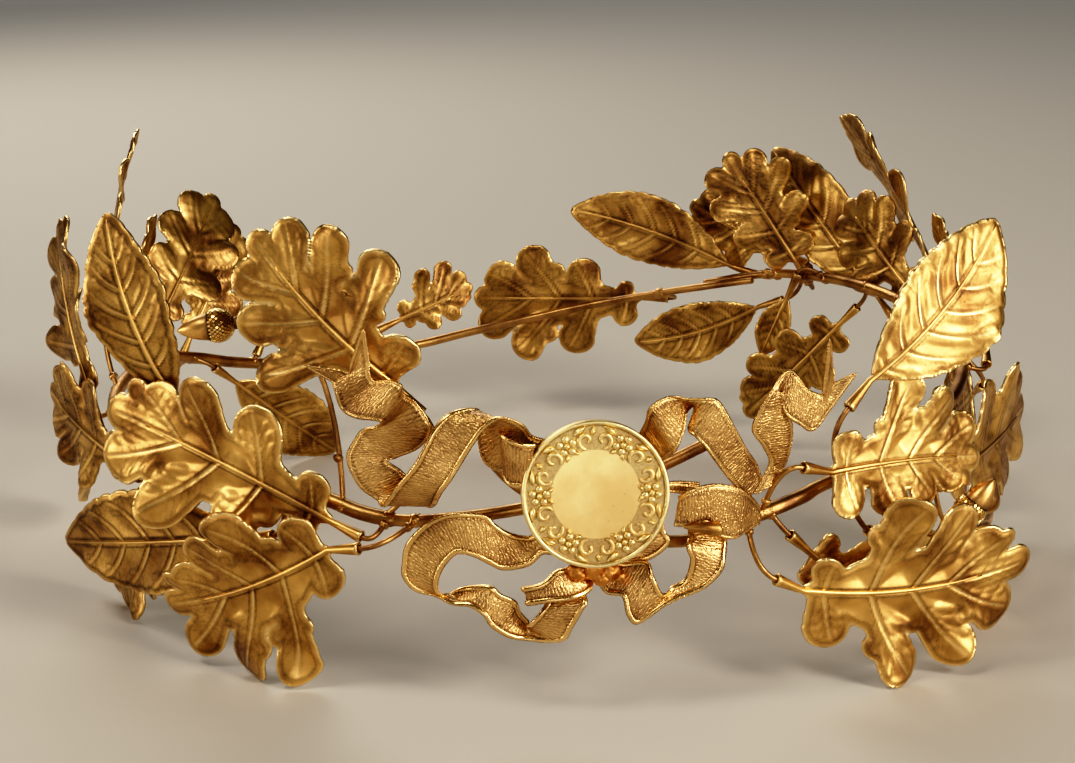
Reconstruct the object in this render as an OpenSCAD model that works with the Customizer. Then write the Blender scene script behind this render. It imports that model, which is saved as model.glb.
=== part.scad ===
/* [Circlet] */
// Radius of the circlet, to the middle of its tubes, in mm
ring_radius = 95; // [93:0.5:97]
// Number of sides of the two tubes
tube_sides = 8; // [6:1:12]
// Diameter of the stalk wires
wire_dia = 1.0; // [0.8:0.1:1.1]
// Number of sides of a stalk wire
wire_sides = 5; // [5:1:8]

/* [Leaves] */
// Thickness of the leaf sheet
leaf_sheet = 0.6; // [0.5:0.05:0.8]
// Length of the socket from its mouth to the blade
socket_length = 7; // [6:0.5:8]
// Outer diameter of a socket at its mouth
socket_mouth_dia = 2.5; // [2.4:0.1:2.8]
// Bore of a socket
socket_bore_dia = 1.6; // [1.5:0.1:1.7]
// Diameter where a socket runs into its midrib
socket_neck_dia = 1.5; // [1.3:0.1:1.7]
// How far a stalk wire goes into its socket
wire_seat = 2.5; // [1.5:0.5:3]

/* [Ribbon] */
// Thickness of the ribbon
ribbon_sheet = 0.7; // [0.5:0.05:0.8]
// Steps between two sections of the ribbon
ribbon_steps = 1; // [1:1:4]

/* [Medallion] */
// Diameter of the medallion over its rim
medallion_dia = 27.6; // [26:0.2:28]
// Thickness of the medallion without its rim
medallion_thick = 1.6; // [1.2:0.1:1.8]
// Width of the raised rim
medallion_rim = 0.9; // [0.7:0.1:1.2]
// Height of the medallion's centre above the surface that the wreath rests on
medallion_height = 44.5; // [44:0.5:45]
// Distance of the medallion's back from the circlet's axis
medallion_reach = 101.2; // [101:0.1:102]
// How far the solder boss stands out behind the medallion
medallion_back = 2.4; // [2:0.1:3]
// How far the medallion leans back, in degrees
medallion_lean = 10; // [8:1:12]
// Number of flowers on the border
flower_count = 8; // [6:1:10]

/* [Acorns] */
// Diameter of an acorn's cup
cup_dia = 6.8; // [6:0.2:7]
// Length of an acorn
acorn_length = 12.4; // [11:0.2:13]

/* [Hidden] */

// The left stem: angle round the circlet, offset from its radius, height, diameter
left_stem = [
    [283, 1.5, 51.0, 2.4],
    [277, 0.0, 46.4, 2.4],
    [270, -1.5, 42.0, 2.4],
    [260, -1.0, 38.5, 2.4],
    [251, 0.0, 36.4, 2.4],
    [247.5, 0.0, 36.0, 2.4],
    [247, 0.0, 36.0, 3.0],
    [243, 0.0, 36.8, 3.0],
    [238, 0.0, 38.7, 3.0],
    [227, 0.0, 40.5, 3.0],
    [215, 0.0, 41.0, 3.0],
    [203, 0.0, 40.0, 3.0],
    [191, 0.0, 38.6, 3.0],
    [179, 0.0, 37.5, 3.0],
    [167, 0.0, 37.0, 3.0],
    [156, 0.0, 35.8, 3.0],
    [146, 0.0, 31.6, 2.9],
    [138, 0.0, 27.6, 2.8],
    [129, 0.0, 24.2, 2.7],
    [120, 0.0, 22.8, 2.6],
    [111, 0.0, 22.6, 2.4],
    [103, 0.0, 23.6, 2.3],
    [95, 0.0, 26.0, 2.2],
    [87, 0.0, 28.6, 2.1],
    [77, 0.0, 32.6, 2.0],
    [67, 0.0, 36.5, 1.9],
    [57, 0.0, 40.4, 1.9],
    [48, 0.0, 44.0, 1.7]];

// The right stem: the same columns
right_stem = [
    [258, -0.5, 50.5, 2.3],
    [262, 0.0, 43.8, 2.4],
    [270, 2.0, 37.6, 2.4],
    [279, 2.0, 32.6, 2.4],
    [286, 1.0, 33.4, 2.4],
    [290, 0.0, 34.9, 2.4],
    [290.5, 0.0, 35.0, 3.0],
    [297, 0.0, 37.1, 3.0],
    [300, 0.0, 38.4, 2.6],
    [311, 0.0, 41.0, 2.8],
    [323, 0.0, 43.0, 2.8],
    [335, 0.0, 44.6, 2.8],
    [347, 0.0, 46.2, 2.8],
    [359, 0.0, 47.4, 2.8],
    [372, 0.0, 48.3, 2.7],
    [386, 0.0, 48.7, 2.6],
    [396, 0.3, 48.0, 2.4],
    [406, 2.2, 45.8, 2.2],
    [417, 2.4, 41.0, 1.8]];

// The leaves, with all places as an angle round the circlet, a radius and a height:
// name, kind, stem, root angle on the stem, base, tip, direction the face looks (turn, rise),
// sideways bend, cupping, quads from rib to edge, stations,
// then how far each lobe reaches, as a share of the length, on the left and on the right
// (basal, lower, middle, upper, tip), or a serrated leaf's half widths,
// and last, for a few, by how much the socket is turned out of line
OAK = "oak";
SERRATED = "serrated";
LEFT = "left";
RIGHT = "right";
leaves = [
    ["oak_leaf_01", OAK, LEFT, 246, [248.3, 97, 63], [233, 103, 91], [-116, 8], 0.03, 0.25, 2, 16,
        [0.16, 0.46, 0.42, 0.34, 0.20], [0.23, 0.51, 0.47, 0.35, 0.20]],
    ["oak_leaf_02", OAK, LEFT, 246.5, [241, 100, 36], [213, 109.5, 52], [-135, 5], -0.03, 0.25, 2, 16,
        [0.10, 0.30, 0.42, 0.38, 0.22], [0.14, 0.28, 0.32, 0.25, 0.18]],
    ["oak_leaf_03", OAK, LEFT, 250, [241.6, 103.5, 31.6], [220.2, 105, 13.1], [-125, -18], 0.03, 0.25, 2, 16,
        [0.20, 0.56, 0.53, 0.46, 0.28], [0.22, 0.42, 0.37, 0.28, 0.20], -15],
    ["serrated_leaf_01", SERRATED, LEFT, 222, [220, 101.5, 54], [214, 108.5, 91], [-118, 10],
        0.05, 0.3, 1, 8, [0.21], [0.21]],
    ["serrated_leaf_02", SERRATED, LEFT, 233, [229, 98.5, 29], [199, 110, 16], [-140, -5],
        0.0, 0.3, 1, 8, [0.18], [0.18]],
    ["oak_leaf_04", OAK, LEFT, 112, [106, 98, 30], [94, 99, 38], [-80, 10], 0.0, 0.2, 1, 16,
        [0.20, 0.50, 0.52, 0.36, 0.18], [0.15, 0.30, 0.35, 0.25, 0.18]],
    ["serrated_leaf_03", SERRATED, LEFT, 148, [142, 89.5, 25], [122, 85, 0.3], [-70, -10],
        0.0, 0.3, 1, 8, [0.22], [0.20]],
    ["oak_leaf_05", OAK, LEFT, 160, [153, 98, 44], [135, 104, 70], [-70, 10], 0.0, 0.2, 1, 16,
        [0.12, 0.25, 0.30, 0.28, 0.16], [0.12, 0.28, 0.32, 0.28, 0.16]],
    ["oak_leaf_06", OAK, LEFT, 150, [144, 100, 36], [132, 103, 61], [-60, 10], 0.0, 0.2, 1, 16,
        [0.12, 0.32, 0.36, 0.28, 0.18], [0.12, 0.32, 0.36, 0.28, 0.18]],
    ["oak_leaf_07", OAK, LEFT, 64, [68, 103, 34], [94, 105.8, 33], [-95, 5], 0.0, 0.2, 1, 16,
        [0.16, 0.34, 0.42, 0.36, 0.18], [0.10, 0.24, 0.36, 0.30, 0.18]],
    ["serrated_leaf_04", SERRATED, RIGHT, 404, [53, 99, 46], [79, 101, 58], [-100, 5],
        -0.04, 0.3, 1, 8, [0.17], [0.19]],
    ["oak_leaf_08", OAK, RIGHT, 398, [42.4, 100.5, 49.4], [54, 100, 74.5], [-105, 10], 0.0, 0.2, 1, 16,
        [0.20, 0.34, 0.44, 0.42, 0.26], [0.22, 0.38, 0.46, 0.38, 0.24]],
    ["serrated_leaf_05", SERRATED, RIGHT, 399, [47, 96, 37], [68, 94, 24], [-110, 0],
        0.05, 0.3, 1, 8, [0.20], [0.20]],
    ["oak_leaf_09", OAK, RIGHT, 385, [31, 95.5, 37], [47, 89, 8], [-120, -10], 0.0, 0.2, 1, 16,
        [0.15, 0.25, 0.30, 0.25, 0.16], [0.15, 0.25, 0.30, 0.25, 0.16]],
    ["serrated_leaf_06", SERRATED, RIGHT, 374, [28.6, 105.2, 43], [51.6, 116.5, 75], [-130, 10],
        0.0, 0.3, 1, 8, [0.15], [0.17]],
    ["oak_leaf_10", OAK, RIGHT, 377, [19.5, 102.3, 48], [35.5, 104.3, 67], [-140, 10], 0.0, 0.2, 1, 16,
        [0.15, 0.35, 0.38, 0.32, 0.18], [0.15, 0.35, 0.38, 0.32, 0.18]],
    ["oak_leaf_11", OAK, RIGHT, 366, [19, 106, 56], [41, 112, 88], [-15, 10], 0.0, 0.2, 1, 16,
        [0.12, 0.25, 0.28, 0.25, 0.14], [0.12, 0.25, 0.28, 0.25, 0.14]],
    ["serrated_leaf_07", SERRATED, RIGHT, 303, [303, 101.5, 60], [320, 109, 88], [-75, 12],
        -0.05, 0.3, 1, 8, [0.22], [0.27]],
    ["oak_leaf_12", OAK, RIGHT, 291, [297, 103, 44], [317, 111, 41], [-64, 8], 0.03, 0.25, 2, 16,
        [0.19, 0.48, 0.44, 0.35, 0.20], [0.25, 0.29, 0.28, 0.25, 0.18], -12],
    ["oak_leaf_13", OAK, RIGHT, 289, [293.2, 104.5, 21.7], [316, 121.8, 21.8], [-70, -6], -0.04, 0.25, 2, 16,
        [0.15, 0.45, 0.41, 0.30, 0.24], [0.25, 0.45, 0.45, 0.38, 0.26], -28],
    ["oak_leaf_14", OAK, RIGHT, 292, [297, 98, 26], [307, 101.5, 10], [-70, 5], 0.0, 0.2, 1, 16,
        [0.25, 0.42, 0.40, 0.30, 0.18], [0.25, 0.34, 0.34, 0.28, 0.18]],
    ["oak_leaf_15", OAK, LEFT, 177, [166.5, 99, 62], [156.3, 98, 92.8], [-173, 0], 0.0, 0.2, 1, 16,
        [0.12, 0.26, 0.30, 0.26, 0.15], [0.12, 0.26, 0.30, 0.26, 0.15]],
    ["oak_leaf_16", OAK, LEFT, 172, [161, 97.5, 46], [152.5, 98, 71], [-180, 0], 0.0, 0.2, 1, 16,
        [0.12, 0.30, 0.34, 0.28, 0.15], [0.12, 0.30, 0.34, 0.28, 0.15]],
    ["oak_leaf_17", OAK, LEFT, 203, [198, 102, 46], [186, 105, 80], [-165, 5], 0.0, 0.2, 1, 16,
        [0.15, 0.42, 0.44, 0.36, 0.20], [0.15, 0.40, 0.42, 0.36, 0.20]],
    ["oak_leaf_18", OAK, LEFT, 209, [207, 101, 36], [188, 109, 44], [-160, 0], 0.0, 0.2, 1, 16,
        [0.15, 0.36, 0.40, 0.32, 0.18], [0.15, 0.36, 0.40, 0.32, 0.18]],
    ["oak_leaf_19", OAK, LEFT, 218, [213, 99, 27], [196, 99, 2.2], [-155, -5], 0.0, 0.2, 1, 16,
        [0.15, 0.34, 0.38, 0.30, 0.18], [0.15, 0.34, 0.38, 0.30, 0.18]],
    ["serrated_leaf_08", SERRATED, LEFT, 190, [183, 101, 30], [166, 108, 8], [-185, -5],
        0.0, 0.3, 1, 8, [0.20], [0.20]],
    ["oak_leaf_20", OAK, LEFT, 134, [129, 99, 32], [120, 102, 54], [-70, 10], 0.0, 0.2, 1, 16,
        [0.15, 0.36, 0.40, 0.32, 0.18], [0.15, 0.36, 0.40, 0.32, 0.18]],
    ["oak_leaf_21", OAK, RIGHT, 314, [320, 102, 34], [345, 109, 38], [-30, 0], 0.0, 0.2, 1, 16,
        [0.15, 0.34, 0.38, 0.32, 0.18], [0.15, 0.34, 0.38, 0.32, 0.18]],
    ["oak_leaf_22", OAK, RIGHT, 322, [327, 98.5, 20.1], [349, 104, 8.1], [-30, -5], 0.0, 0.2, 1, 16,
        [0.15, 0.34, 0.38, 0.32, 0.18], [0.15, 0.34, 0.38, 0.32, 0.18]],
    ["serrated_leaf_09", SERRATED, RIGHT, 345, [351, 101, 48], [368, 109.2, 63], [0, 5],
        0.0, 0.3, 1, 8, [0.20], [0.20]],
    ["oak_leaf_23", OAK, RIGHT, 362, [367, 101, 49], [375, 101.5, 71], [-5, 0], 0.0, 0.2, 1, 16,
        [0.12, 0.28, 0.32, 0.26, 0.15], [0.12, 0.28, 0.32, 0.26, 0.15]],
    ["oak_leaf_24", OAK, RIGHT, 350, [357, 101, 34], [377, 106, 14], [5, -5], 0.0, 0.2, 1, 16,
        [0.15, 0.36, 0.40, 0.32, 0.18], [0.15, 0.36, 0.40, 0.32, 0.18]],
    ["serrated_leaf_10", SERRATED, RIGHT, 303, [309, 98, 24], [329, 102, 0.6], [-45, -5],
        0.0, 0.3, 1, 8, [0.20], [0.20]],
    ["serrated_leaf_11", SERRATED, RIGHT, 394, [400, 92, 42], [404, 90, 26], [-120, 0],
        0.0, 0.3, 1, 8, [0.24], [0.24]],
    ["oak_leaf_25", OAK, RIGHT, 406, [46, 105.5, 50], [62, 108, 60], [-105, 5], 0.0, 0.2, 1, 16,
        [0.15, 0.34, 0.38, 0.30, 0.18], [0.15, 0.34, 0.38, 0.30, 0.18]]];

// The acorns: name, stem, root angle on the stem, foot of the cup, direction point
acorns = [
    ["acorn_left", LEFT, 241, [229, 98, 72], [224, 106, 70.5]],
    ["acorn_right", RIGHT, 309, [313, 110, 28], [315.7, 115.4, 38]]];

// The ribbon's bands: name, sections, and the swallowtail's two tips and notch if it has one.
// A section is one edge's angle, radius and height, then the other edge's.
ribbons = [
    ["ribbon_tail_left", [
        [-96, 99.5, 49.5, -94, 98.8, 53.5],
        [-99, 99.3, 51.0, -96.5, 100, 54.5],
        [-100, 98, 52.0, -97.5, 103, 58.0],
        [-100.5, 97, 55.5, -98.5, 104, 59.5],
        [-102.5, 98.5, 59.5, -100, 103.5, 59.5],
        [-105, 101, 59.5, -101.5, 103, 57.5],
        [-106.5, 102.5, 57.0, -103, 103, 53.5],
        [-107.5, 103.5, 53.5, -104, 103, 50.5],
        [-108.5, 104, 50.0, -105, 103.5, 47.5],
        [-110.5, 103.5, 45.5, -106, 103, 45.0],
        [-112.5, 101, 41.0, -107.5, 99.5, 41.0],
        [-113.5, 99.5, 41.5, -109.5, 97.5, 43.5],
        [-115, 100.5, 43.5, -111, 99, 47.0],
        [-116, 101, 46.5, -112.5, 99.5, 49.0],
        [-116.5, 101, 49.5, -111.5, 98.5, 50.0],
        [-116, 100.5, 52.0, -109, 98, 52.0],
        [-115, 100, 54.5, -107.5, 99.5, 56.0],
        [-113, 100.5, 56.0, -109, 99.5, 60.5],
        [-112, 103.5, 58.0, -110, 102, 63.0],
        [-113, 104, 58.5, -110, 103.5, 65.0],
        [-115, 103.5, 58.5, -111.5, 103, 65.5],
        [-116.5, 103, 59.5, -113, 102.5, 65.0],
        [-117, 103.5, 62.5, -113.5, 103, 66.5],
        [-117.5, 103, 64.5, -113.5, 103, 69.0]],
        [[-120, 105, 67.5], [-113.5, 105, 75.5], [-115.5, 103, 66.5]]],
    ["ribbon_loop_left", [
        [-92.5, 98.7, 38.5, -91.5, 98.7, 34.5],
        [-95, 99.3, 36.8, -94, 99.4, 32.5],
        [-97, 99.7, 35.5, -95.5, 99.7, 32.5],
        [-99, 101, 36.5, -97, 100.5, 30.5],
        [-100.5, 102, 38.5, -99.5, 101.5, 30.0],
        [-101.5, 102.5, 40.5, -101, 102.5, 31.5],
        [-103.5, 103, 41.0, -102.5, 103, 33.0],
        [-105.5, 103, 40.5, -104, 103, 33.5],
        [-107.5, 103, 38.5, -105, 103, 32.5],
        [-109.5, 103, 34.5, -106, 103, 30.0],
        [-110, 103, 30.5, -106.5, 103, 27.5],
        [-110, 103, 28.0, -106.5, 102.5, 25.5],
        [-109, 102.5, 25.5, -106, 101, 24.0],
        [-107, 101.5, 24.0, -105.5, 99.5, 23.5],
        [-105, 101.5, 22.5, -104.5, 99, 24.5],
        [-103, 102, 22.5, -103, 100, 25.5],
        [-101.5, 102.5, 21.0, -101, 101, 26.0],
        [-101, 102.5, 19.5, -100, 101, 24.5],
        [-100.5, 102.5, 18.5, -98.5, 100.5, 23.0],
        [-99, 101.5, 16.5, -98, 99.5, 20.5],
        [-97, 100.5, 15.5, -97, 98.5, 18.0],
        [-93.5, 102, 16.0, -97, 102, 19.0],
        [-92.5, 103, 19.0, -96.5, 103, 20.0],
        [-91.5, 103.5, 22.5, -95.5, 103, 22.0],
        [-91, 103, 24.0, -95, 102, 24.0],
        [-92, 100.5, 25.0, -96.5, 100.5, 26.0],
        [-97, 102.5, 23.5, -97.5, 102.5, 26.5],
        [-95, 104, 24.5, -95.5, 103, 27.5],
        [-92.5, 104, 25.0, -94, 102, 29.5],
        [-90.5, 102, 26.0, -92, 100.5, 30.0],
        [-90.4, 99.7, 28.0, -91.8, 99.7, 31.5]],
        []],
    ["ribbon_loop_right", [
        [-89.6, 99.6, 28.0, -88.6, 99.6, 31.5],
        [-88.7, 101, 25.0, -87, 100, 30.0],
        [-87, 102.5, 24.5, -84.5, 101.5, 30.5],
        [-86.5, 103.5, 21.0, -84, 103, 28.0],
        [-85.5, 103.5, 19.5, -83, 103, 24.5],
        [-82.5, 103, 22.5, -81.5, 101.5, 25.0],
        [-78.5, 103, 25.0, -80, 101.5, 26.5],
        [-76.5, 103, 28.0, -79.5, 102, 30.5],
        [-76, 102.5, 30.5, -80, 102, 33.0],
        [-75.5, 101, 33.0, -79.5, 100.5, 34.5]],
        []],
    ["ribbon_knot", [
        [-74, 97.6, 36.0, -74, 97.6, 41.0],
        [-71.7, 98, 34.5, -71.7, 98, 39.0],
        [-70.8, 99.5, 35.0, -70.8, 99.5, 37.5],
        [-73, 101, 34.5, -72, 101, 40.0],
        [-74.5, 102.5, 34.0, -74, 102.5, 43.0],
        [-76.5, 103, 35.0, -76, 103, 44.5],
        [-78, 103, 38.0, -78, 103, 45.0],
        [-80, 102.5, 37.5, -80, 102.5, 44.0],
        [-81.5, 101.5, 37.5, -81, 101.5, 42.5]],
        []],
    ["ribbon_rise", [
        [-78, 98.5, 41.5, -78, 98.5, 44.0],
        [-82, 99.5, 43.5, -81.5, 99.5, 45.0],
        [-83.5, 99.7, 41.5, -82.5, 100, 43.0],
        [-83.5, 99.8, 37.0, -82.5, 100.5, 36.5],
        [-85, 99.8, 33.5, -82, 101, 34.0],
        [-86, 99.5, 33.0, -84, 100.5, 31.0],
        [-88, 99.3, 33.5, -87, 99.8, 30.0]],
        []],
    ["ribbon_arch", [
        [-86, 98.2, 52.0, -84, 98.2, 46.5],
        [-85, 99.0, 54.5, -83, 98.7, 48.5],
        [-84.5, 100.8, 57.5, -82, 99.8, 50.5],
        [-84.5, 103, 60.5, -81.5, 102, 52.5],
        [-83.5, 103, 62.0, -80.5, 101.5, 56.0],
        [-82, 102.5, 62.5, -80, 100.5, 59.0],
        [-80.5, 103, 62.0, -78.5, 98.5, 59.5],
        [-78.5, 104, 62.0, -80, 101, 56.0],
        [-77.5, 104, 61.5, -79.5, 103, 55.0],
        [-76.5, 104, 59.0, -78.5, 103.5, 53.0],
        [-75, 103.5, 54.5, -77.5, 103.5, 50.5],
        [-73.5, 102.5, 50.5, -76, 103, 47.0],
        [-72, 101, 47.5, -74.5, 102, 44.0]],
        []],
    ["ribbon_tail_right", [
        [-70.5, 100, 44.5, -68, 100, 46.0],
        [-70, 100.5, 47.5, -68, 101, 48.0],
        [-71.5, 102, 51.5, -68, 102, 51.5],
        [-73, 103, 55.0, -68.5, 103, 55.0],
        [-72.5, 103.5, 58.5, -69.5, 103.5, 58.5],
        [-71.5, 104, 61.5, -70, 104, 61.5],
        [-70, 103.5, 64.5, -70, 102.5, 62.0],
        [-69, 103.5, 65.5, -70, 103.5, 60.5],
        [-68.5, 104.5, 64.5, -69.5, 104.5, 57.5],
        [-67.5, 105, 62.0, -68, 105, 55.5],
        [-66, 105, 60.5, -66.5, 105, 54.0],
        [-65.5, 105.5, 60.5, -65, 105.5, 57.0]],
        [[-66, 108, 72.0], [-62.5, 108, 64.5], [-64.6, 106, 62.5]]]];

function place(angle, radius, height) = [radius * cos(angle), radius * sin(angle), height];
function spot(place_row) = place(place_row[0], place_row[1], place_row[2]);
function unit(v) = v / norm(v);
function mix(a, b, share) = a * (1 - share) + b * share;

// A point on the smooth curve from b to c, with a before b and d after c
function smooth(a, b, c, d, t) =
    0.5 * (2 * b + (c - a) * t + (2 * a - 5 * b + 4 * c - d) * pow(t, 2)
        + (3 * b - a - 3 * c + d) * pow(t, 3));

// The rows of a table with steps - 1 smooth rows put in between each two
function smooth_rows(rows, steps) =
    let (last = len(rows) - 1)
    [for (k = [0:last * steps])
        let (i = min(floor(k / steps), last - 1), t = k / steps - i)
        smooth(rows[max(i - 1, 0)], rows[i], rows[i + 1], rows[min(i + 2, last)], t)];

// A closed solid through rings of points, all with the same number of points
module loft(rings) {
    sides = len(rings[0]);
    last = len(rings) - 1;
    walls = [for (k = [0:last - 1], i = [0:sides - 1])
        let (a = k * sides + i, b = k * sides + (i + 1) % sides)
        each [[a, b + sides, b], [a, a + sides, b + sides]]];
    first_cap = [for (i = [0:sides - 1]) i];
    last_cap = [for (i = [sides - 1:-1:0]) last * sides + i];
    polyhedron([for (ring = rings) each ring], concat(walls, [first_cap, last_cap]));
}

// Rings of a tube along a path of points, with a diameter for each; ahead is any direction
// that the path never takes
function tube_rings(path, dias, sides, ahead) =
    let (last = len(path) - 1)
    [for (i = [0:last])
        let (along = unit(path[min(i + 1, last)] - path[max(i - 1, 0)]),
            side = unit(cross(along, ahead)),
            up = cross(side, along))
        [for (k = [0:sides - 1])
            let (turn = 360 * k / sides)
            path[i] + dias[i] / 2 * (side * cos(turn) - up * sin(turn))]];

function stem_column(rows, column) = [for (row = rows) [row[0], row[column]]];
function on_stem(rows, angle) = place(
    angle,
    ring_radius + lookup(angle, stem_column(rows, 1)),
    lookup(angle, stem_column(rows, 2)));

// The direction of a leaf's length, of its left side and of its face
function leaf_length(leaf) = norm(spot(leaf[5]) - spot(leaf[4]));
function leaf_ahead(leaf) = unit(spot(leaf[5]) - spot(leaf[4]));
function leaf_face(leaf) =
    let (turn = leaf[6][0], rise = leaf[6][1],
        looks = [cos(turn) * cos(rise), sin(turn) * cos(rise), sin(rise)],
        ahead = leaf_ahead(leaf))
    unit(looks - ahead * (looks * ahead));
function socket_turn(leaf) = len(leaf) > 13 ? leaf[13] : 0;
function socket_ahead(leaf) =
    leaf_ahead(leaf) * cos(socket_turn(leaf))
    + cross(leaf_face(leaf), leaf_ahead(leaf)) * sin(socket_turn(leaf));
function leaf_mouth(leaf) = spot(leaf[4]) - socket_ahead(leaf) * socket_length;

// How far one side of a blade reaches from its rib at a share of the rib's length.
// An oak leaf has five lobes a side, at these shares, with narrow bays between them.
lobe_at = [0.07, 0.33, 0.57, 0.79, 1];
lobe_half = [0.13, 0.13, 0.12, 0.11, 0.11];
function bay(share) = 0.12 + 0.05 * share;
function bump(off, half) = pow(max(0, 1 - pow(abs(off) / half, 2.6)), 0.4);
function oak_reach(lobes, share) = max(concat(
    [bay(share) * min(1, 0.3 + 6 * share)],
    [for (i = [0:4]) lobes[i] * bump(share - lobe_at[i], lobe_half[i])]));
function serrated_reach(half_width, share) =
    half_width * pow(sin(180 * pow(share, 0.85)), 0.7) + 0.012;

// The angle between the rib and the veins, which turn towards the tip
function oak_vein(share) = (80 - 50 * share) * (1 - pow(share, 5)) + 4 * share;
function serrated_vein(share) = (62 - 30 * share) * (1 - pow(share, 8)) + 10 * share;

// A point of the blade in shares of its length: along, to the left, towards its face
function blade_point(leaf, share, across) =
    let (oak = leaf[1] == OAK,
        rib_end = oak ? 0.8 : 0.97,
        along = 0.03 + (rib_end - 0.03) * share,
        side = across > 0 ? leaf[11] : leaf[12],
        reach = oak ? oak_reach(side, share) : serrated_reach(side[0], share),
        vein = oak ? oak_vein(share) : serrated_vein(share),
        fan = share < 1 ? vein : vein * across,
        out = share < 1 ? abs(across) * reach : reach,
        x = along + out * cos(fan),
        y = (share < 1 ? sign(across) : 1) * out * sin(fan))
    [x, y + leaf[7] * 4 * x * (1 - x), leaf[8] * pow(y, 2) + 0.04 * 4 * x * (1 - x)];

function leaf_to_world(leaf, local) =
    let (ahead = leaf_ahead(leaf), face = leaf_face(leaf))
    spot(leaf[4]) + ahead * local[0] + cross(face, ahead) * local[1] + face * local[2];

// One ring round the blade: the front from left to right, then the back from right to left
function blade_ring(leaf, share) =
    let (quads = leaf[9], size = leaf_length(leaf),
        row = [for (i = [quads:-1:-quads]) blade_point(leaf, share, i / quads) * size],
        half = [0, 0, leaf_sheet / 2])
    concat([for (p = row) p + half], [for (i = [2 * quads:-1:0]) row[i] - half]);

// One ring of the socket, with the same number of points as the blade's rings
function socket_ring(leaf, along, dia) =
    let (quads = leaf[9], spread = quads == 1 ? 60 : 40,
        turns = [for (i = [-quads:quads]) 90 - i * spread])
    [for (turn = concat(turns, -[for (i = [2 * quads:-1:0]) turns[i]]))
        let (y = -cos(turn) * dia / 2, aside = socket_turn(leaf))
        [along * cos(aside) - y * sin(aside), along * sin(aside) + y * cos(aside),
            sin(turn) * dia / 2]];

module leaf_blade(leaf) {
    sockets = [
        socket_ring(leaf, wire_seat + 0.4 - socket_length, socket_bore_dia),
        socket_ring(leaf, -socket_length, socket_bore_dia),
        socket_ring(leaf, -socket_length, socket_mouth_dia),
        socket_ring(leaf, 2 - socket_length, socket_mouth_dia * 0.94),
        socket_ring(leaf, -1, socket_neck_dia)];
    blades = [for (i = [0:leaf[10]]) blade_ring(leaf, i / leaf[10])];
    color("goldenrod")
        loft([for (ring = concat(sockets, blades)) [for (p = ring) leaf_to_world(leaf, p)]]);
}

// A stalk wire from its root on a stem, soldered there, into the socket of a leaf or an acorn
module stalk(root, mouth, ahead, aside) {
    pull = mouth - ahead * norm(mouth - root) * 0.45;
    steps = 3;
    bend = [for (i = [0:steps])
        let (t = i / steps)
        mix(mix(root, pull, t), mix(pull, mouth, t), t)];
    path = concat(bend, [mouth + ahead * wire_seat]);
    loft(tube_rings(path, [for (p = path) wire_dia], wire_sides, aside));
    hull() {
        translate(root)
            sphere(d = 2.6, $fn = 4);
        translate(mix(root, bend[1], 0.5))
            sphere(d = 1.4, $fn = 4);
    }
}

module stem(rows, side) {
    path = [for (row = rows) on_stem(rows, row[0])];
    loft(tube_rings(path, [for (row = rows) row[3]], tube_sides, [0, 0, 1]));
    for (leaf = leaves)
        if (leaf[2] == side)
            stalk(on_stem(rows, leaf[3]), leaf_mouth(leaf), socket_ahead(leaf), leaf_face(leaf));
    for (acorn = acorns)
        if (acorn[1] == side)
            stalk(on_stem(rows, acorn[2]), spot(acorn[3]), acorn_ahead(acorn), [0, 0, 1]);
}

module left_branch() {
    color("darkgoldenrod")
        stem(left_stem, LEFT);
}

module right_branch() {
    color("darkgoldenrod")
        stem(right_stem, RIGHT);
}

function acorn_ahead(acorn) = unit(spot(acorn[4]) - spot(acorn[3]));

// An acorn that stands on its foot: the foot, the cup up to its brim, the pointed nut with a
// slightly worn tip, and the bore for the stalk wire
module acorn_body() {
    cup = cup_dia / 2;
    brim = 1.9;
    nut = cup * 0.74;
    worn = 0.3;
    foot = 1.2;
    middle = foot + cup;
    nut_half = acorn_length - middle;
    nut_arc = (pow(nut, 2) + pow(nut_half, 2)) / (2 * nut);
    rotate_extrude($fn = 48)
        difference() {
            union() {
                square([foot, foot + 1]);
                intersection() {
                    translate([0, middle])
                        circle(r = cup, $fn = 64);
                    translate([0, foot])
                        square([cup + 1, cup + brim]);
                }
                intersection() {
                    translate([nut - nut_arc, middle])
                        circle(r = nut_arc, $fn = 96);
                    translate([0, middle])
                        square([cup, nut_half - worn]);
                }
            }
            translate([0, -1])
                square([socket_bore_dia / 2, wire_seat + 1.4]);
        }
}

module acorn(acorn_row) {
    ahead = acorn_ahead(acorn_row);
    color("goldenrod")
        translate(spot(acorn_row[3]))
            rotate([0, acos(ahead[2]), atan2(ahead[1], ahead[0])])
                acorn_body();
}

// How deep the border's ornament is rooted in the medallion
relief_root = 0.3;

// A flower of five round petals and a bud, on the face of the medallion
module border_flower() {
    petals = 5;
    petal_dia = 1.15;
    petal_out = 1.05;
    for (k = [1:petals])
        rotate(360 * k / petals)
            translate([petal_out, 0, -relief_root])
                cylinder(d = petal_dia, h = relief_root + 0.35, $fn = 20);
    translate([0, 0, -relief_root])
        cylinder(d = 0.9, h = relief_root + 0.6, $fn = 20);
}

// A leaf with two pointed ends, which lies along x
module border_leaf(long, wide) {
    arc = (pow(long / 2, 2) + pow(wide / 2, 2)) / wide;
    translate([0, 0, -relief_root])
        linear_extrude(relief_root + 0.35)
            intersection() {
                translate([0, wide / 2 - arc])
                    circle(r = arc, $fn = 60);
                translate([0, arc - wide / 2])
                    circle(r = arc, $fn = 60);
            }
}

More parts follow.
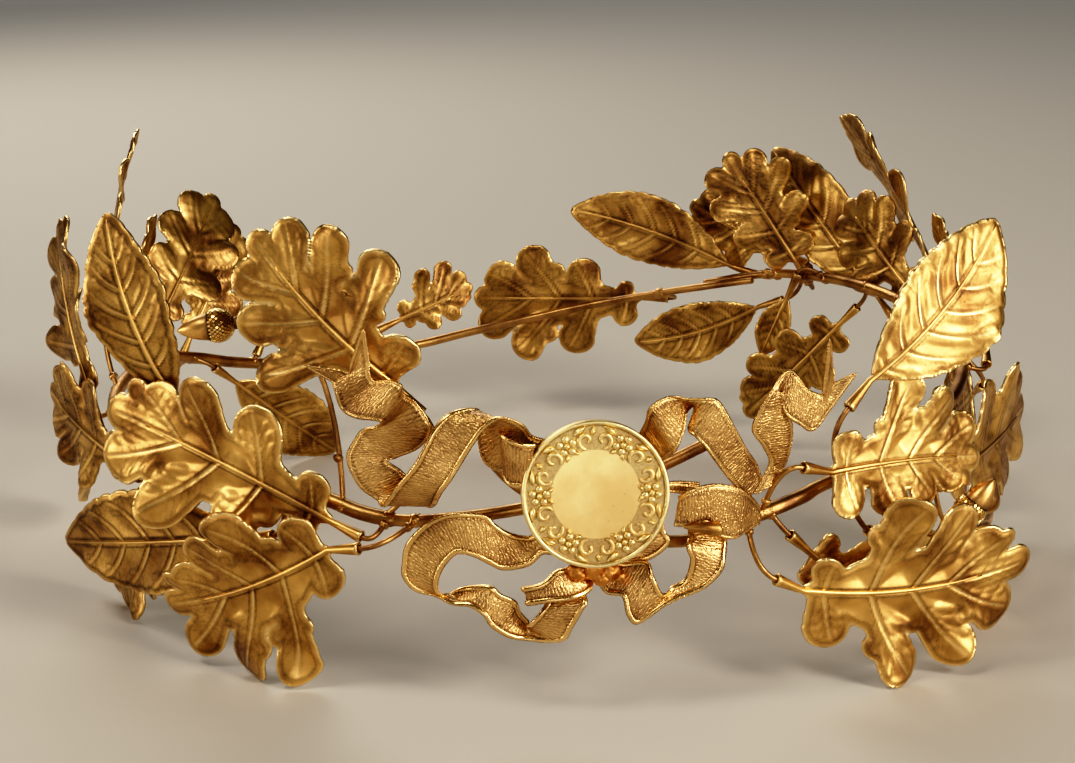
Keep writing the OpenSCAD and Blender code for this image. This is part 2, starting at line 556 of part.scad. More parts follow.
// A scroll of round wire, half sunk in the face, between two leaves
module border_scroll() {
    scroll_radius = 1.25;
    wire = 0.5;
    rotate(-70)
        rotate_extrude(angle = 250, $fn = 40)
            translate([scroll_radius, 0])
                circle(d = wire, $fn = 14);
    translate([0, 0, -relief_root])
        cylinder(d = 0.8, h = relief_root + 0.4, $fn = 16);
    for (side = [-1, 1])
        rotate(side * 16)
            translate([side * 2.5, 0.3, 0])
                rotate(side * 35)
                    border_leaf(2.6, 1);
}

module medallion() {
    radius = medallion_dia / 2;
    border = radius * 0.76;
    boss_dia = 4.5;
    boss_drop = 5.5;
    solder_dia = 4.6;
    color("khaki")
        translate(place(-90, medallion_reach, medallion_height))
            rotate([90 - medallion_lean, 0, 0]) {
                cylinder(d = medallion_dia - medallion_rim, h = medallion_thick, $fn = 96);
                rotate_extrude($fn = 96)
                    translate([radius - medallion_rim, 0]) {
                        square([medallion_rim, medallion_thick]);
                        translate([medallion_rim / 2, medallion_thick])
                            circle(d = medallion_rim, $fn = 32);
                    }
                for (k = [1:flower_count])
                    rotate(360 * k / flower_count)
                        translate([0, border, medallion_thick])
                            border_flower();
                for (k = [1:flower_count])
                    rotate(360 * (k + 0.5) / flower_count)
                        translate([0, border, medallion_thick])
                            border_scroll();
                translate([0, -boss_drop, -medallion_back])
                    cylinder(d = boss_dia, h = medallion_back + 0.5, $fn = 32);
            }
    // The lump of solder at its foot, which the ribbon's loops are fixed to
    color("khaki")
        translate(place(-90, medallion_reach + 1.4, medallion_height - medallion_dia / 2 - 1))
            sphere(d = solder_dia, $fn = 48);
}

// A band whose two edges follow the rows of a table, and whose last row may be a swallowtail
module ribbon_band(rows, tail) {
    edges = [for (row = rows) concat(place(row[0], row[1], row[2]), place(row[3], row[4], row[5]))];
    fine = smooth_rows(edges, ribbon_steps);
    last = len(fine) - 1;
    function edge(i, k) = [fine[i][k], fine[i][k + 1], fine[i][k + 2]];
    function middle(i) = (edge(i, 0) + edge(i, 3)) / 2;
    function out(i) = unit(cross(
        edge(i, 3) - edge(i, 0),
        middle(min(i + 1, last)) - middle(max(i - 1, 0))));
    function band_ring(left, mid, right, off) =
        [left + off, mid + off, right + off, right - off, mid - off, left - off];
    rings = [for (i = [0:last])
        band_ring(edge(i, 0), middle(i), edge(i, 3), out(i) * ribbon_sheet / 2)];
    tips = len(tail) == 0 ? [] :
        [band_ring(spot(tail[0]), spot(tail[2]), spot(tail[1]), out(last) * ribbon_sheet / 2)];
    color("gold")
        loft(concat(rings, tips));
}

for (leaf = leaves)
    leaf_blade(leaf);
left_branch();
right_branch();
medallion();
for (fruit = acorns)
    acorn(fruit);
for (band = ribbons)
    ribbon_band(band[1], band[2]);
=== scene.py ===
# %% [markdown]
# # An oak leaf wreath of gilt brass
# The object is an open circlet for an adult's head. Two thin tubes carry oak leaves, longer leaves
# with a toothed edge and two acorns on fine wires, and a ribbon bow and a round medallion close
# the front. All of it is brass that was stamped, drawn or cast, soldered together and gilt.
#
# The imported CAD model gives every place. Each of its nodes is replaced here by a finer piece that
# follows the same rule from the same table, so the two never drift apart. Nothing moves, so every
# piece rides on the one body, root.

import math
from collections import namedtuple

import bmesh
import bpy
import numpy as np
from mathutils import Matrix, Vector


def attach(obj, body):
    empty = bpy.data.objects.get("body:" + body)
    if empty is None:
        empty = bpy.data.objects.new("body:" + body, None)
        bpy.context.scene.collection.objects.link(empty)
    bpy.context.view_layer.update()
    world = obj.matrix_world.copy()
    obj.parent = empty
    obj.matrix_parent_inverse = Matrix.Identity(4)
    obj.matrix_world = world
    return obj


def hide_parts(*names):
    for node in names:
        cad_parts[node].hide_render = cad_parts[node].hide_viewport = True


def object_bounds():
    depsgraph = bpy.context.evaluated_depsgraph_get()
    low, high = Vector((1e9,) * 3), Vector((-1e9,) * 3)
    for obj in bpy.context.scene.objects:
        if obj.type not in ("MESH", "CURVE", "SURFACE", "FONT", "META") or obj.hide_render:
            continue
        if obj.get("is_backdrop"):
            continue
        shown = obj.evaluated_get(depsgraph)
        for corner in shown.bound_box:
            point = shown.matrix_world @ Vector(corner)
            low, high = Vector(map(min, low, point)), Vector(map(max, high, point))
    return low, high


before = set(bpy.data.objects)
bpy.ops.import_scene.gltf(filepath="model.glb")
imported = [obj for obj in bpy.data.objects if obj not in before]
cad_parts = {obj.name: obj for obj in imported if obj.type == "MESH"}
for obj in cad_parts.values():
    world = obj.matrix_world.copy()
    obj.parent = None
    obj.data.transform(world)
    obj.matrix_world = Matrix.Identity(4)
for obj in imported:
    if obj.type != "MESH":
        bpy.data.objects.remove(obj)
cad_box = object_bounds()
MM = 0.001
box_mm = [round(v / MM, 2) for corner in cad_box for v in corner]
print("CAD nodes:", len(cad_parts), "box:", box_mm)

# %% [markdown]
# ## The camera, the floor and the light
# The camera was found by fitting the circlet's ellipse and the leaves that touch the surface. It
# looks down by 15.5 degrees, from 6 degrees to the left. A long lens keeps the near and the far
# side at almost the same scale.
#
# Polished metal shows what surrounds it more than its own colour. So the light is a few large soft
# boxes against a darker room: the boxes give broad highlights, and the room gives the dark
# reflections that make metal look like metal. A plain pale floor carries the shadow.
#
# A camera doesn't show light in a straight line. It darkens what is dark already, and its brightest
# tones come close together instead of stopping at white. RESPONSE is such a curve. It works on red,
# green and blue apart, so a highlight on gold turns pale and a shadow on gold turns deep brown.

# %% Set up the camera, the floor and the lights
CAMERA_TURN = -6.0
CAMERA_RISE = 15.5
CAMERA_DISTANCE = 0.518
LENS_MM = 2270 / 1075 * 36
LOOK_AT = Vector((0, 0, 0.038))
ROOM_COLOUR, ROOM_STRENGTH = "#706B62", 0.07
# light that reaches the camera, and what it shows of it
RESPONSE = [(0.03, 0.006), (0.08, 0.04), (0.25, 0.21), (0.60, 0.56), (1.0, 0.83), (1.5, 0.95)]
BRIGHTEST = 2.4

scene = bpy.context.scene
scene.view_settings.view_transform = "Standard"
scene.view_settings.use_curve_mapping = True
response = scene.view_settings.curve_mapping
response.clip_max_x = BRIGHTEST
response.curves[3].points[1].location = (BRIGHTEST, 1.0)
for level, shown in RESPONSE:
    response.curves[3].points.new(level, shown)
response.update()


def linear(colour):
    """The linear colour of an sRGB hex value such as "#C08030"."""
    parts = [int(colour[i:i + 2], 16) / 255 for i in (1, 3, 5)]
    return tuple(c / 12.92 if c <= 0.04045 else ((c + 0.055) / 1.055) ** 2.4 for c in parts) + (1.0,)


def look_from(obj, place, target):
    obj.location = place
    obj.rotation_euler = (Vector(target) - Vector(place)).to_track_quat("-Z", "Y").to_euler()
    scene.collection.objects.link(obj)


turn = math.radians(CAMERA_TURN)
rise = math.radians(CAMERA_RISE)
back = Vector((math.sin(turn) * math.cos(rise), -math.cos(turn) * math.cos(rise), math.sin(rise)))
camera = bpy.data.objects.new("camera", bpy.data.cameras.new("camera"))
camera.data.lens = LENS_MM
camera.data.sensor_width = 36
camera.data.sensor_fit = "HORIZONTAL"
camera.data.clip_start = 0.01
look_from(camera, LOOK_AT + back * CAMERA_DISTANCE, LOOK_AT)
scene.camera = camera

# name, place, point it faces, width, height, power in watts, colour
SOFT_BOXES = [
    ("key_right", (0.62, -0.75, 0.62), (0, 0, 0.04), 0.32, 0.32, 8.2, "#FFF3E2"),
    ("low_right", (0.85, -0.75, 0.16), (0, 0, 0.03), 0.40, 0.20, 5.0, "#FFF3E2"),
    ("low_left", (-1.00, -0.22, 0.20), (0, 0, 0.03), 0.45, 0.25, 3.4, "#FFF3E2"),
    ("front_strip", (-0.12, -1.15, 0.18), (0, 0, 0.05), 0.60, 0.10, 1.8, "#FFF6EA"),
    ("over_left", (-0.45, -0.35, 0.85), (0, 0, 0.04), 0.26, 0.26, 3.6, "#FFF3E2"),
    ("far_floor", (0, 2.40, 1.90), (0, 2.20, 0), 2.00, 1.20, 22.0, "#FFFFFF"),
    ("rim_back", (-0.30, 0.80, 0.55), (0, 0, 0.05), 0.50, 0.30, 4.0, "#FFF3E2")]
for name, spot_at, faces, wide, high, power, colour in SOFT_BOXES:
    light = bpy.data.lights.new(name, "AREA")
    light.shape = "RECTANGLE"
    light.size = wide
    light.size_y = high
    light.energy = power
    light.color = linear(colour)[:3]
    look_from(bpy.data.objects.new(name, light), spot_at, faces)

world = bpy.data.worlds.new("studio")
world.use_nodes = True
room = world.node_tree.nodes["Background"]
room.inputs["Color"].default_value = linear(ROOM_COLOUR)
room.inputs["Strength"].default_value = ROOM_STRENGTH
scene.world = world
print("soft boxes:", len(SOFT_BOXES))

# %% [markdown]
# ## Helpers: places, meshes and node trees
# The tables give a place as an angle round the circlet, a radius and a height in millimetres.
# A mesh is made from rings of points wherever a piece is a skin over sections, and from a node
# tree wherever something repeats or follows a path. A tree's result is kept as a plain mesh.

# %% Define the helpers for places and meshes
def unit(v):
    return v / np.linalg.norm(v)


def heading(turn):
    """The flat direction of an angle in radians."""
    return np.array([math.cos(turn), math.sin(turn)])


def pulled_curve(a, b, c, t):
    """The curve from a to c that is pulled towards b, at shares t."""
    return (a * (1 - t) + b * t) * (1 - t) + (b * (1 - t) + c * t) * t


def place(angle, radius, height):
    """A point in millimetres from an angle in degrees, a radius and a height."""
    around = math.radians(angle)
    return np.array([radius * math.cos(around), radius * math.sin(around), height])


def smooth_rows(rows, steps):
    """A smooth curve through the rows of a table, with steps - 1 rows put in between each two."""
    rows = np.asarray(rows, float)
    last = len(rows) - 1
    k = np.arange(last * steps + 1)
    i = np.minimum(k // steps, last - 1)
    t = (k / steps - i)[:, None]
    a, b, c, d = (rows[np.clip(i + shift, 0, last)] for shift in (-1, 0, 1, 2))
    return 0.5 * (2 * b + (c - a) * t + (2 * a - 5 * b + 4 * c - d) * t**2
                  + (3 * b - a - 3 * c + d) * t**3)


def grid_faces(rows, columns, around=False):
    """The quads of a sheet of rows x columns points, which closes round if around is true."""
    last = columns if around else columns - 1
    return [(r * columns + c, r * columns + (c + 1) % columns,
             (r + 1) * columns + (c + 1) % columns, (r + 1) * columns + c)
            for r in range(rows - 1) for c in range(last)]


def make_mesh(name, points, faces, edges=(), **attributes):
    """A smooth mesh object from points in millimetres, with number attributes for its points."""
    mesh = bpy.data.meshes.new(name)
    mesh.from_pydata([tuple(p * MM) for p in np.asarray(points)], list(edges), faces)
    for key, values in attributes.items():
        numbers = mesh.attributes.new(key, "FLOAT", "POINT").data
        numbers.foreach_set("value", np.asarray(values, np.float32))
    mesh.shade_smooth()
    obj = bpy.data.objects.new(name, mesh)
    scene.collection.objects.link(obj)
    return obj


def join(parts, name):
    """Joins objects into the first one."""
    for other in bpy.context.selected_objects:
        other.select_set(False)
    for part in parts:
        part.select_set(True)
    bpy.context.view_layer.objects.active = parts[0]
    bpy.ops.object.join()
    parts[0].name = name
    return parts[0]


def triangles(obj):
    return sum(len(p.vertices) - 2 for p in obj.data.polygons)


def fit_inside(obj, reach=8.0, spare=0.02):
    """Presses what stands outside the CAD's box back into it, softly over the last few mm."""
    points = np.empty(len(obj.data.vertices) * 3)
    obj.data.vertices.foreach_get("co", points)
    points = points.reshape(-1, 3)
    for axis in range(3):
        for sign, corner in ((-1, cad_box[0]), (1, cad_box[1])):
            far = sign * points[:, axis]
            wall = sign * corner[axis] - spare * MM
            excess = far.max() - wall
            if excess > 0:
                share = np.clip((far - wall + reach * MM) / (excess + reach * MM), 0, 1)
                points[:, axis] -= sign * excess * share**2
                print(obj.name, "pressed in by", round(excess / MM, 2), "mm along", "XYZ"[axis])
    obj.data.vertices.foreach_set("co", points.ravel())
    obj.data.update()


triangle_counts = []


def keep(obj, slot, *nodes):
    """The piece fits the CAD's box, stands for its CAD nodes and rides on the one body."""
    fit_inside(obj)
    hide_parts(*nodes)
    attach(obj, "root")
    triangle_counts.append(triangles(obj))


# %% [markdown]
# Every tree has its sizes and its metal as named inputs, and it ends the same way: the result is
# shaded, made real and given its metal.

# %% Define the helpers for node trees
def add(tree, kind, inputs=None, give=None, **settings):
    """Adds a node. inputs gives its sockets a value, another node's output or a list of outputs.
    It hands back the output called give, or else the node's first one in use."""
    node = tree.nodes.new(kind)
    for key, value in settings.items():
        setattr(node, key, value)
    for key, given in (inputs or {}).items():
        for value in given if isinstance(given, list) else [given]:
            if isinstance(value, bpy.types.NodeSocket):
                tree.links.new(value, node.inputs[key])
            else:
                node.inputs[key].default_value = value
    return node.outputs[give] if give else next(out for out in node.outputs if out.enabled)


def new_tree(name, **sizes):
    """A geometry node tree whose sizes are named inputs, beside its geometry and its metal."""
    tree = bpy.data.node_groups.new(name, "GeometryNodeTree")
    for way in ("INPUT", "OUTPUT"):
        tree.interface.new_socket("Geometry", in_out=way, socket_type="NodeSocketGeometry")
    for label, size in sizes.items():
        kind = "NodeSocketInt" if isinstance(size, int) else "NodeSocketFloat"
        tree.interface.new_socket(label, in_out="INPUT", socket_type=kind).default_value = size
    tree.interface.new_socket("Metal", in_out="INPUT", socket_type="NodeSocketMaterial")
    return tree, tree.nodes.new("NodeGroupInput").outputs


def end_tree(tree, mesh, given, smooth=True):
    mesh = add(tree, "GeometryNodeSetShadeSmooth", {"Geometry": mesh, "Shade Smooth": smooth})
    mesh = add(tree, "GeometryNodeRealizeInstances", {"Geometry": mesh})
    mesh = add(tree, "GeometryNodeSetMaterial", {"Geometry": mesh, "Material": given["Metal"]})
    tree.links.new(mesh, tree.nodes.new("NodeGroupOutput").inputs["Geometry"])


def grow(obj, tree, **sizes):
    """Runs a node tree on an object and keeps the result as the object's plain mesh."""
    modifier = obj.modifiers.new(tree.name, "NODES")
    modifier.node_group = tree
    for item in tree.interface.items_tree:
        if item.in_out == "INPUT" and item.name in sizes:
            modifier[item.identifier] = sizes[item.name]
    bpy.context.view_layer.update()
    depsgraph = bpy.context.evaluated_depsgraph_get()
    obj_now = obj.evaluated_get(depsgraph)
    mesh = bpy.data.meshes.new_from_object(obj_now, preserve_all_data_layers=True, depsgraph=depsgraph)
    obj.modifiers.remove(modifier)
    obj.data = mesh
    return obj


# %% [markdown]
# ## The gilt finish
# Every part is brass with a thin coat of gold. Stamped leaves are satin: the die leaves them
# slightly hammered, and they were brushed along their length. Gold wears bright on raised edges
# and veins, and brown tarnish stays in the hollows beside them, so the colour follows how sunk
# the surface is. That comes from an attribute that each mesh carries, 0 on a ridge and 1 in a
# groove, with noise on Object coordinates that breaks it up. On some pieces the same attribute
# also carries painted shade, drawn in the tarnish colour: the leaves at the back and at the left
# end, the inside of the sockets' bores and the medallion's border field. One function makes the
# finish, and each kind of part gets its own colours, brushing and grain.

# %% Define the finish
CLOUD_MM, PIT_MM = 9, 1.6
# heights of the bumps in mm: hammer marks, grain, engraved lines
HAMMER_DEEP, GRAIN_DEEP, LINE_DEEP = 0.4, 0.08, 0.085
# where each thing starts and where it is full, on the noise, the hollow or the lines it follows
DEEP_TONE = {"From Min": 0.33, "From Max": 0.66}
PATCHES = {"From Min": 0.5, "From Max": 0.62}
SPECKS = {"From Min": 0.16, "From Max": 0.05}
CRACKS = {"From Max": 0.18, "To Min": 0.22}
LINE_TARNISH = {"From Min": 0.40, "From Max": 0.05, "To Max": 0.36}
BEAD = {"From Min": -0.12, "From Max": -0.30}
TARNISH_RUN = 0.75


def engraved_lines(tree, hollow, lines_mm):
    """The ribbon's wavy lines and cracks, and no lines on its bead: 0 in a line, 1 between them."""
    along, aside = (add(tree, "ShaderNodeAttribute", give="Fac", attribute_name=name)
                    for name in ("run", "aside"))
    strip = add(tree, "ShaderNodeCombineXYZ", {"X": along, "Y": aside})
    lines = add(tree, "ShaderNodeTexWave", {
        "Vector": strip, "Scale": 0.314 / lines_mm, "Distortion": 7.5, "Detail": 3.0,
        "Detail Scale": 1.4}, give="Fac", bands_direction="X")
    cracks = add(tree, "ShaderNodeTexVoronoi", {"Vector": strip, "Scale": 0.75 / lines_mm},
                 feature="DISTANCE_TO_EDGE")
    cracks = add(tree, "ShaderNodeMapRange", {"Value": cracks, **CRACKS})
    lines = add(tree, "ShaderNodeMath", {0: lines, 1: cracks}, operation="MULTIPLY")
    bead = add(tree, "ShaderNodeMapRange", {"Value": hollow, **BEAD})
    return add(tree, "ShaderNodeMath", {0: lines, 1: bead}, operation="MAXIMUM")


def gilt_metal(name, colours, roughness, tarnish_from, hammer_mm, hammer, grain_mm, grain,
               specks=1.0, lines_mm=0.0):
    """A gilt metal: its worn, bright, deep and tarnished colours, and sizes in millimetres."""
    worn, bright, deep, tarnish = (linear(colour) for colour in colours)
    material = bpy.data.materials.new(name)
    material.use_nodes = True
    tree = material.node_tree
    shader = tree.nodes["Principled BSDF"]
    shader.inputs["Metallic"].default_value = 1.0
    where = add(tree, "ShaderNodeTexCoord", give="Object")
    hollow = add(tree, "ShaderNodeAttribute", give="Fac", attribute_name="hollow")
    cloud, fine, dents = (
        add(tree, "ShaderNodeTexNoise", {"Vector": where, "Scale": 1 / (wide * MM), "Detail": detail})
        for wide, detail in ((CLOUD_MM, 5.0), (grain_mm, 4.0), (hammer_mm, 2.0)))
    pits = add(tree, "ShaderNodeTexVoronoi", {"Vector": where, "Scale": 1 / (PIT_MM * MM)})
    # gold: bright and deep in clouds, and worn where the surface stands out
    tone = add(tree, "ShaderNodeMapRange", {"Value": cloud, **DEEP_TONE})
    gold = add(tree, "ShaderNodeMix", {"Factor": tone, 6: bright, 7: deep}, data_type="RGBA")
    polish = add(tree, "ShaderNodeMath", {0: hollow, 1: -1.3}, operation="MULTIPLY", use_clamp=True)
    gold = add(tree, "ShaderNodeMix", {"Factor": polish, 6: gold, 7: worn}, data_type="RGBA")
    # tarnish: in hollows, in engraved lines, in patches and in specks, with the painted shade that some
    # pieces add to their attribute
    stain = add(tree, "ShaderNodeMath", {0: fine, 1: 0.55}, operation="MULTIPLY")
    stain = add(tree, "ShaderNodeMath", {0: hollow, 1: stain}, operation="ADD")
    if lines_mm:
        lines = engraved_lines(tree, hollow, lines_mm)
        cut = add(tree, "ShaderNodeMapRange", {"Value": lines, **LINE_TARNISH})
        stain = add(tree, "ShaderNodeMath", {0: stain, 1: cut}, operation="ADD")
    patchy = add(tree, "ShaderNodeMapRange", {"Value": cloud, **PATCHES})
    speck = add(tree, "ShaderNodeMapRange", {"Value": pits, "To Max": specks, **SPECKS})
    speck = add(tree, "ShaderNodeMath", {0: speck, 1: patchy}, operation="MULTIPLY")
    stain = add(tree, "ShaderNodeMath", {0: patchy, 1: 0.12 * specks, 2: stain},
                operation="MULTIPLY_ADD")
    stain = add(tree, "ShaderNodeMapRange", {
        "Value": stain, "From Min": tarnish_from, "From Max": tarnish_from + TARNISH_RUN})
    stain = add(tree, "ShaderNodeMath", {0: stain, 1: speck}, operation="MAXIMUM")
    colour = add(tree, "ShaderNodeMix", {"Factor": stain, 6: gold, 7: tarnish}, data_type="RGBA")
    # tarnish and grain are rougher, and worn metal is smoother
    rough = roughness
    for source, share in ((stain, 0.22), (fine, 0.14), (polish, -0.12)):
        rough = add(tree, "ShaderNodeMath", {0: source, 1: share, 2: rough}, operation="MULTIPLY_ADD")
    normal = add(tree, "ShaderNodeBump", {"Height": dents, "Strength": hammer, "Distance": HAMMER_DEEP * MM})
    normal = add(tree, "ShaderNodeBump", {
        "Height": fine, "Strength": grain, "Distance": GRAIN_DEEP * MM, "Normal": normal})
    if lines_mm:
        normal = add(tree, "ShaderNodeBump", {
            "Height": lines, "Strength": 0.8, "Distance": LINE_DEEP * MM, "Normal": normal})
    for label, source in (("Base Color", colour), ("Roughness", rough), ("Normal", normal)):
        tree.links.new(source, shader.inputs[label])
    return material


# %% Make the metals and the floor
# A metal's numbers: roughness, where tarnish starts, size in mm and strength of its hammer marks, and
# the same two of its grain
# Stamped brass sheet, gilt and brushed: satin, hammered a little, brown beside the veins
LEAF_GOLDS = ["#FDDD9E", "#EABC74", "#966A3E", "#3F322B"]
leaf_gilt = gilt_metal("stamped_gilt_brass", LEAF_GOLDS, 0.32, 0.40, 4.5, 0.26, 0.5, 0.38)
# Drawn brass tube, worn thin: browner than the leaves, and smooth along its length
TUBE_GOLDS = ["#F8CF8E", "#DCAC6E", "#936945", "#3F322B"]
tube_gilt = gilt_metal("drawn_brass_tube", TUBE_GOLDS, 0.28, 0.30, 3.0, 0.20, 0.4, 0.20)
# Engraved gilt ribbon: crossed by fine wavy lines that keep their tarnish, its edges polished
RIBBON_GOLDS = ["#FAD392", "#F2C483", "#BE915F", "#4B3A31"]
LINES_MM = 0.62
ribbon_gilt = gilt_metal("engraved_gilt_ribbon", RIBBON_GOLDS, 0.24, 0.44, 3.0, 0.20, 0.5, 0.20,
                         lines_mm=LINES_MM)
# Cast and chased medallion: the palest part, satin, almost without specks
MEDAL_GOLDS = ["#FDEEB6", "#FAE1A1", "#E3BF80", "#715B45"]
medal_gilt = gilt_metal("cast_gilt_medallion", MEDAL_GOLDS, 0.32, 0.42, 3.0, 0.15, 0.4, 0.30, specks=0.25)
# Polished cast acorns
ACORN_GOLDS = ["#FDDD97", "#ECB974", "#A87A4F", "#473831"]
acorn_gilt = gilt_metal("cast_gilt_acorn", ACORN_GOLDS, 0.29, 0.40, 2.5, 0.05, 0.4, 0.14)
# Brazing solder, left orange and rough by the flame
SOLDER_TONES = ["#F4B86C", "#E0A05C", "#B47A46", "#6E4A30"]
solder = gilt_metal("brazing_solder", SOLDER_TONES, 0.38, 0.40, 1.5, 0.60, 0.5, 0.50)

# Pale matt board
FLOOR_COLOUR, FLOOR_ROUGHNESS, FLOOR_WIDE = "#BDBAB4", 0.85, 8.0
floor_paint = bpy.data.materials.new("pale_matt_board")
floor_paint.use_nodes = True
board = floor_paint.node_tree.nodes["Principled BSDF"]
board.inputs["Base Color"].default_value = linear(FLOOR_COLOUR)
board.inputs["Roughness"].default_value = FLOOR_ROUGHNESS
bpy.ops.mesh.primitive_plane_add(size=FLOOR_WIDE, location=(0, 0, -0.1 * MM))
floor = bpy.context.object
floor.name = "floor"
floor.data.materials.append(floor_paint)
floor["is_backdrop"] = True
print("materials:", [m.name for m in bpy.data.materials if "gilt" in m.name or "brass" in m.name])

# %% [markdown]
# ## Two trees that make metal
# Tubes and wires follow a path, so one tree turns any set of lines into round metal: the lines
# become curves, and a circle is carried along each, as wide as the point's own radius. Sheet metal
# is the other kind. A stamped leaf or a ribbon starts as a surface without thickness that knows
# how far each point stands out, and the tree lifts the points and gives the sheet two sides.

# %% Build the trees for round metal and sheet metal
TUBE_HOLLOW = 0.15
tube_tree, given = new_tree("round_metal", Sides=16)
lines = add(tube_tree, "GeometryNodeMeshToCurve", {"Mesh": given["Geometry"]})
own_radius = add(tube_tree, "GeometryNodeInputNamedAttribute", {"Name": "thick"})
lines = add(tube_tree, "GeometryNodeSetCurveRadius", {"Curve": lines, "Radius": own_radius})
circle = add(tube_tree, "GeometryNodeCurvePrimitiveCircle", {"Resolution": given["Sides"], "Radius": 1.0})
tube = add(tube_tree, "GeometryNodeCurveToMesh", {
    "Curve": lines, "Profile Curve": circle, "Fill Caps": True, "Scale": own_radius})
end_tree(tube_tree, tube, given)

WELD_MM, RIM_WELD_MM = 0.004, 0.001
sheet_tree, given = new_tree("sheet_metal", Thickness=0.6 * MM)
flat = add(sheet_tree, "GeometryNodeMergeByDistance", {
    "Geometry": given["Geometry"], "Distance": WELD_MM * MM})
relief = add(sheet_tree, "GeometryNodeInputNamedAttribute", {"Name": "relief"})
lift = add(sheet_tree, "ShaderNodeMath", {0: given["Thickness"], 1: -0.5, 2: relief},
           operation="MULTIPLY_ADD")
normal = add(sheet_tree, "GeometryNodeInputNormal")
offset = add(sheet_tree, "ShaderNodeVectorMath", {0: normal, "Scale": lift}, operation="SCALE")
under = add(sheet_tree, "GeometryNodeSetPosition", {"Geometry": flat, "Offset": offset})
upper = add(sheet_tree, "GeometryNodeExtrudeMesh", {
    "Mesh": under, "Offset Scale": given["Thickness"], "Individual": False}, mode="FACES")
under = add(sheet_tree, "GeometryNodeFlipFaces", {"Mesh": under})
sheet = add(sheet_tree, "GeometryNodeJoinGeometry", {"Geometry": [upper, under]})
sheet = add(sheet_tree, "GeometryNodeMergeByDistance", {"Geometry": sheet, "Distance": RIM_WELD_MM * MM})
end_tree(sheet_tree, sheet, given)


def round_metal(name, paths, metal, sides=16):
    """Tubes along paths, each a list of (points, radii) in millimetres."""
    points, radii, edges = [], [], []
    for path, thick in paths:
        start = len(points)
        points += list(path)
        radii += list(thick)
        edges += [(start + i, start + i + 1) for i in range(len(path) - 1)]
    obj = make_mesh(name, points, [], edges, thick=np.array(radii) * MM,
                    hollow=np.full(len(points), TUBE_HOLLOW))
    return grow(obj, tube_tree, Sides=sides, Metal=metal)


# %% [markdown]
# ## The tables
# These are the CAD source's own rows: where each stem runs, where each leaf is rooted, starts,
# ends and faces, and how far each of its lobes reaches. A place is an angle, a radius and a height.

# %% Give the rows of the stems, the leaves, the acorns and the ribbon
OAK, SERRATED = "oak", "serrated"
LEFT, RIGHT = "left_branch", "right_branch"
FINE, PLAIN = 0.40, 0.58
RING_RADIUS = 95.0
# A stem's row: angle round the circlet, offset from its radius, height, diameter
STEMS = {
    LEFT: [
        (283, 1.5, 51.0, 2.4), (277, 0.0, 46.4, 2.4), (270, -1.5, 42.0, 2.4),
        (260, -1.0, 38.5, 2.4), (251, 0.0, 36.4, 2.4), (247.5, 0.0, 36.0, 2.4),
        (247, 0.0, 36.0, 3.0), (243, 0.0, 36.8, 3.0), (238, 0.0, 38.7, 3.0), (227, 0.0, 40.5, 3.0),
        (215, 0.0, 41.0, 3.0), (203, 0.0, 40.0, 3.0), (191, 0.0, 38.6, 3.0), (179, 0.0, 37.5, 3.0),
        (167, 0.0, 37.0, 3.0), (156, 0.0, 35.8, 3.0), (146, 0.0, 31.6, 2.9), (138, 0.0, 27.6, 2.8),
        (129, 0.0, 24.2, 2.7), (120, 0.0, 22.8, 2.6), (111, 0.0, 22.6, 2.4), (103, 0.0, 23.6, 2.3),
        (95, 0.0, 26.0, 2.2), (87, 0.0, 28.6, 2.1), (77, 0.0, 32.6, 2.0), (67, 0.0, 36.5, 1.9),
        (57, 0.0, 40.4, 1.9), (48, 0.0, 44.0, 1.7)],
    RIGHT: [
        (258, -0.5, 50.5, 2.3), (262, 0.0, 43.8, 2.4), (270, 2.0, 37.6, 2.4), (279, 2.0, 32.6, 2.4),
        (286, 1.0, 33.4, 2.4), (290, 0.0, 34.9, 2.4), (290.5, 0.0, 35.0, 3.0),
        (297, 0.0, 37.1, 3.0), (300, 0.0, 38.4, 2.6), (311, 0.0, 41.0, 2.8), (323, 0.0, 43.0, 2.8),
        (335, 0.0, 44.6, 2.8), (347, 0.0, 46.2, 2.8), (359, 0.0, 47.4, 2.8), (372, 0.0, 48.3, 2.7),
        (386, 0.0, 48.7, 2.6), (396, 0.3, 48.0, 2.4), (406, 2.2, 45.8, 2.2), (417, 2.4, 41.0, 1.8)]}

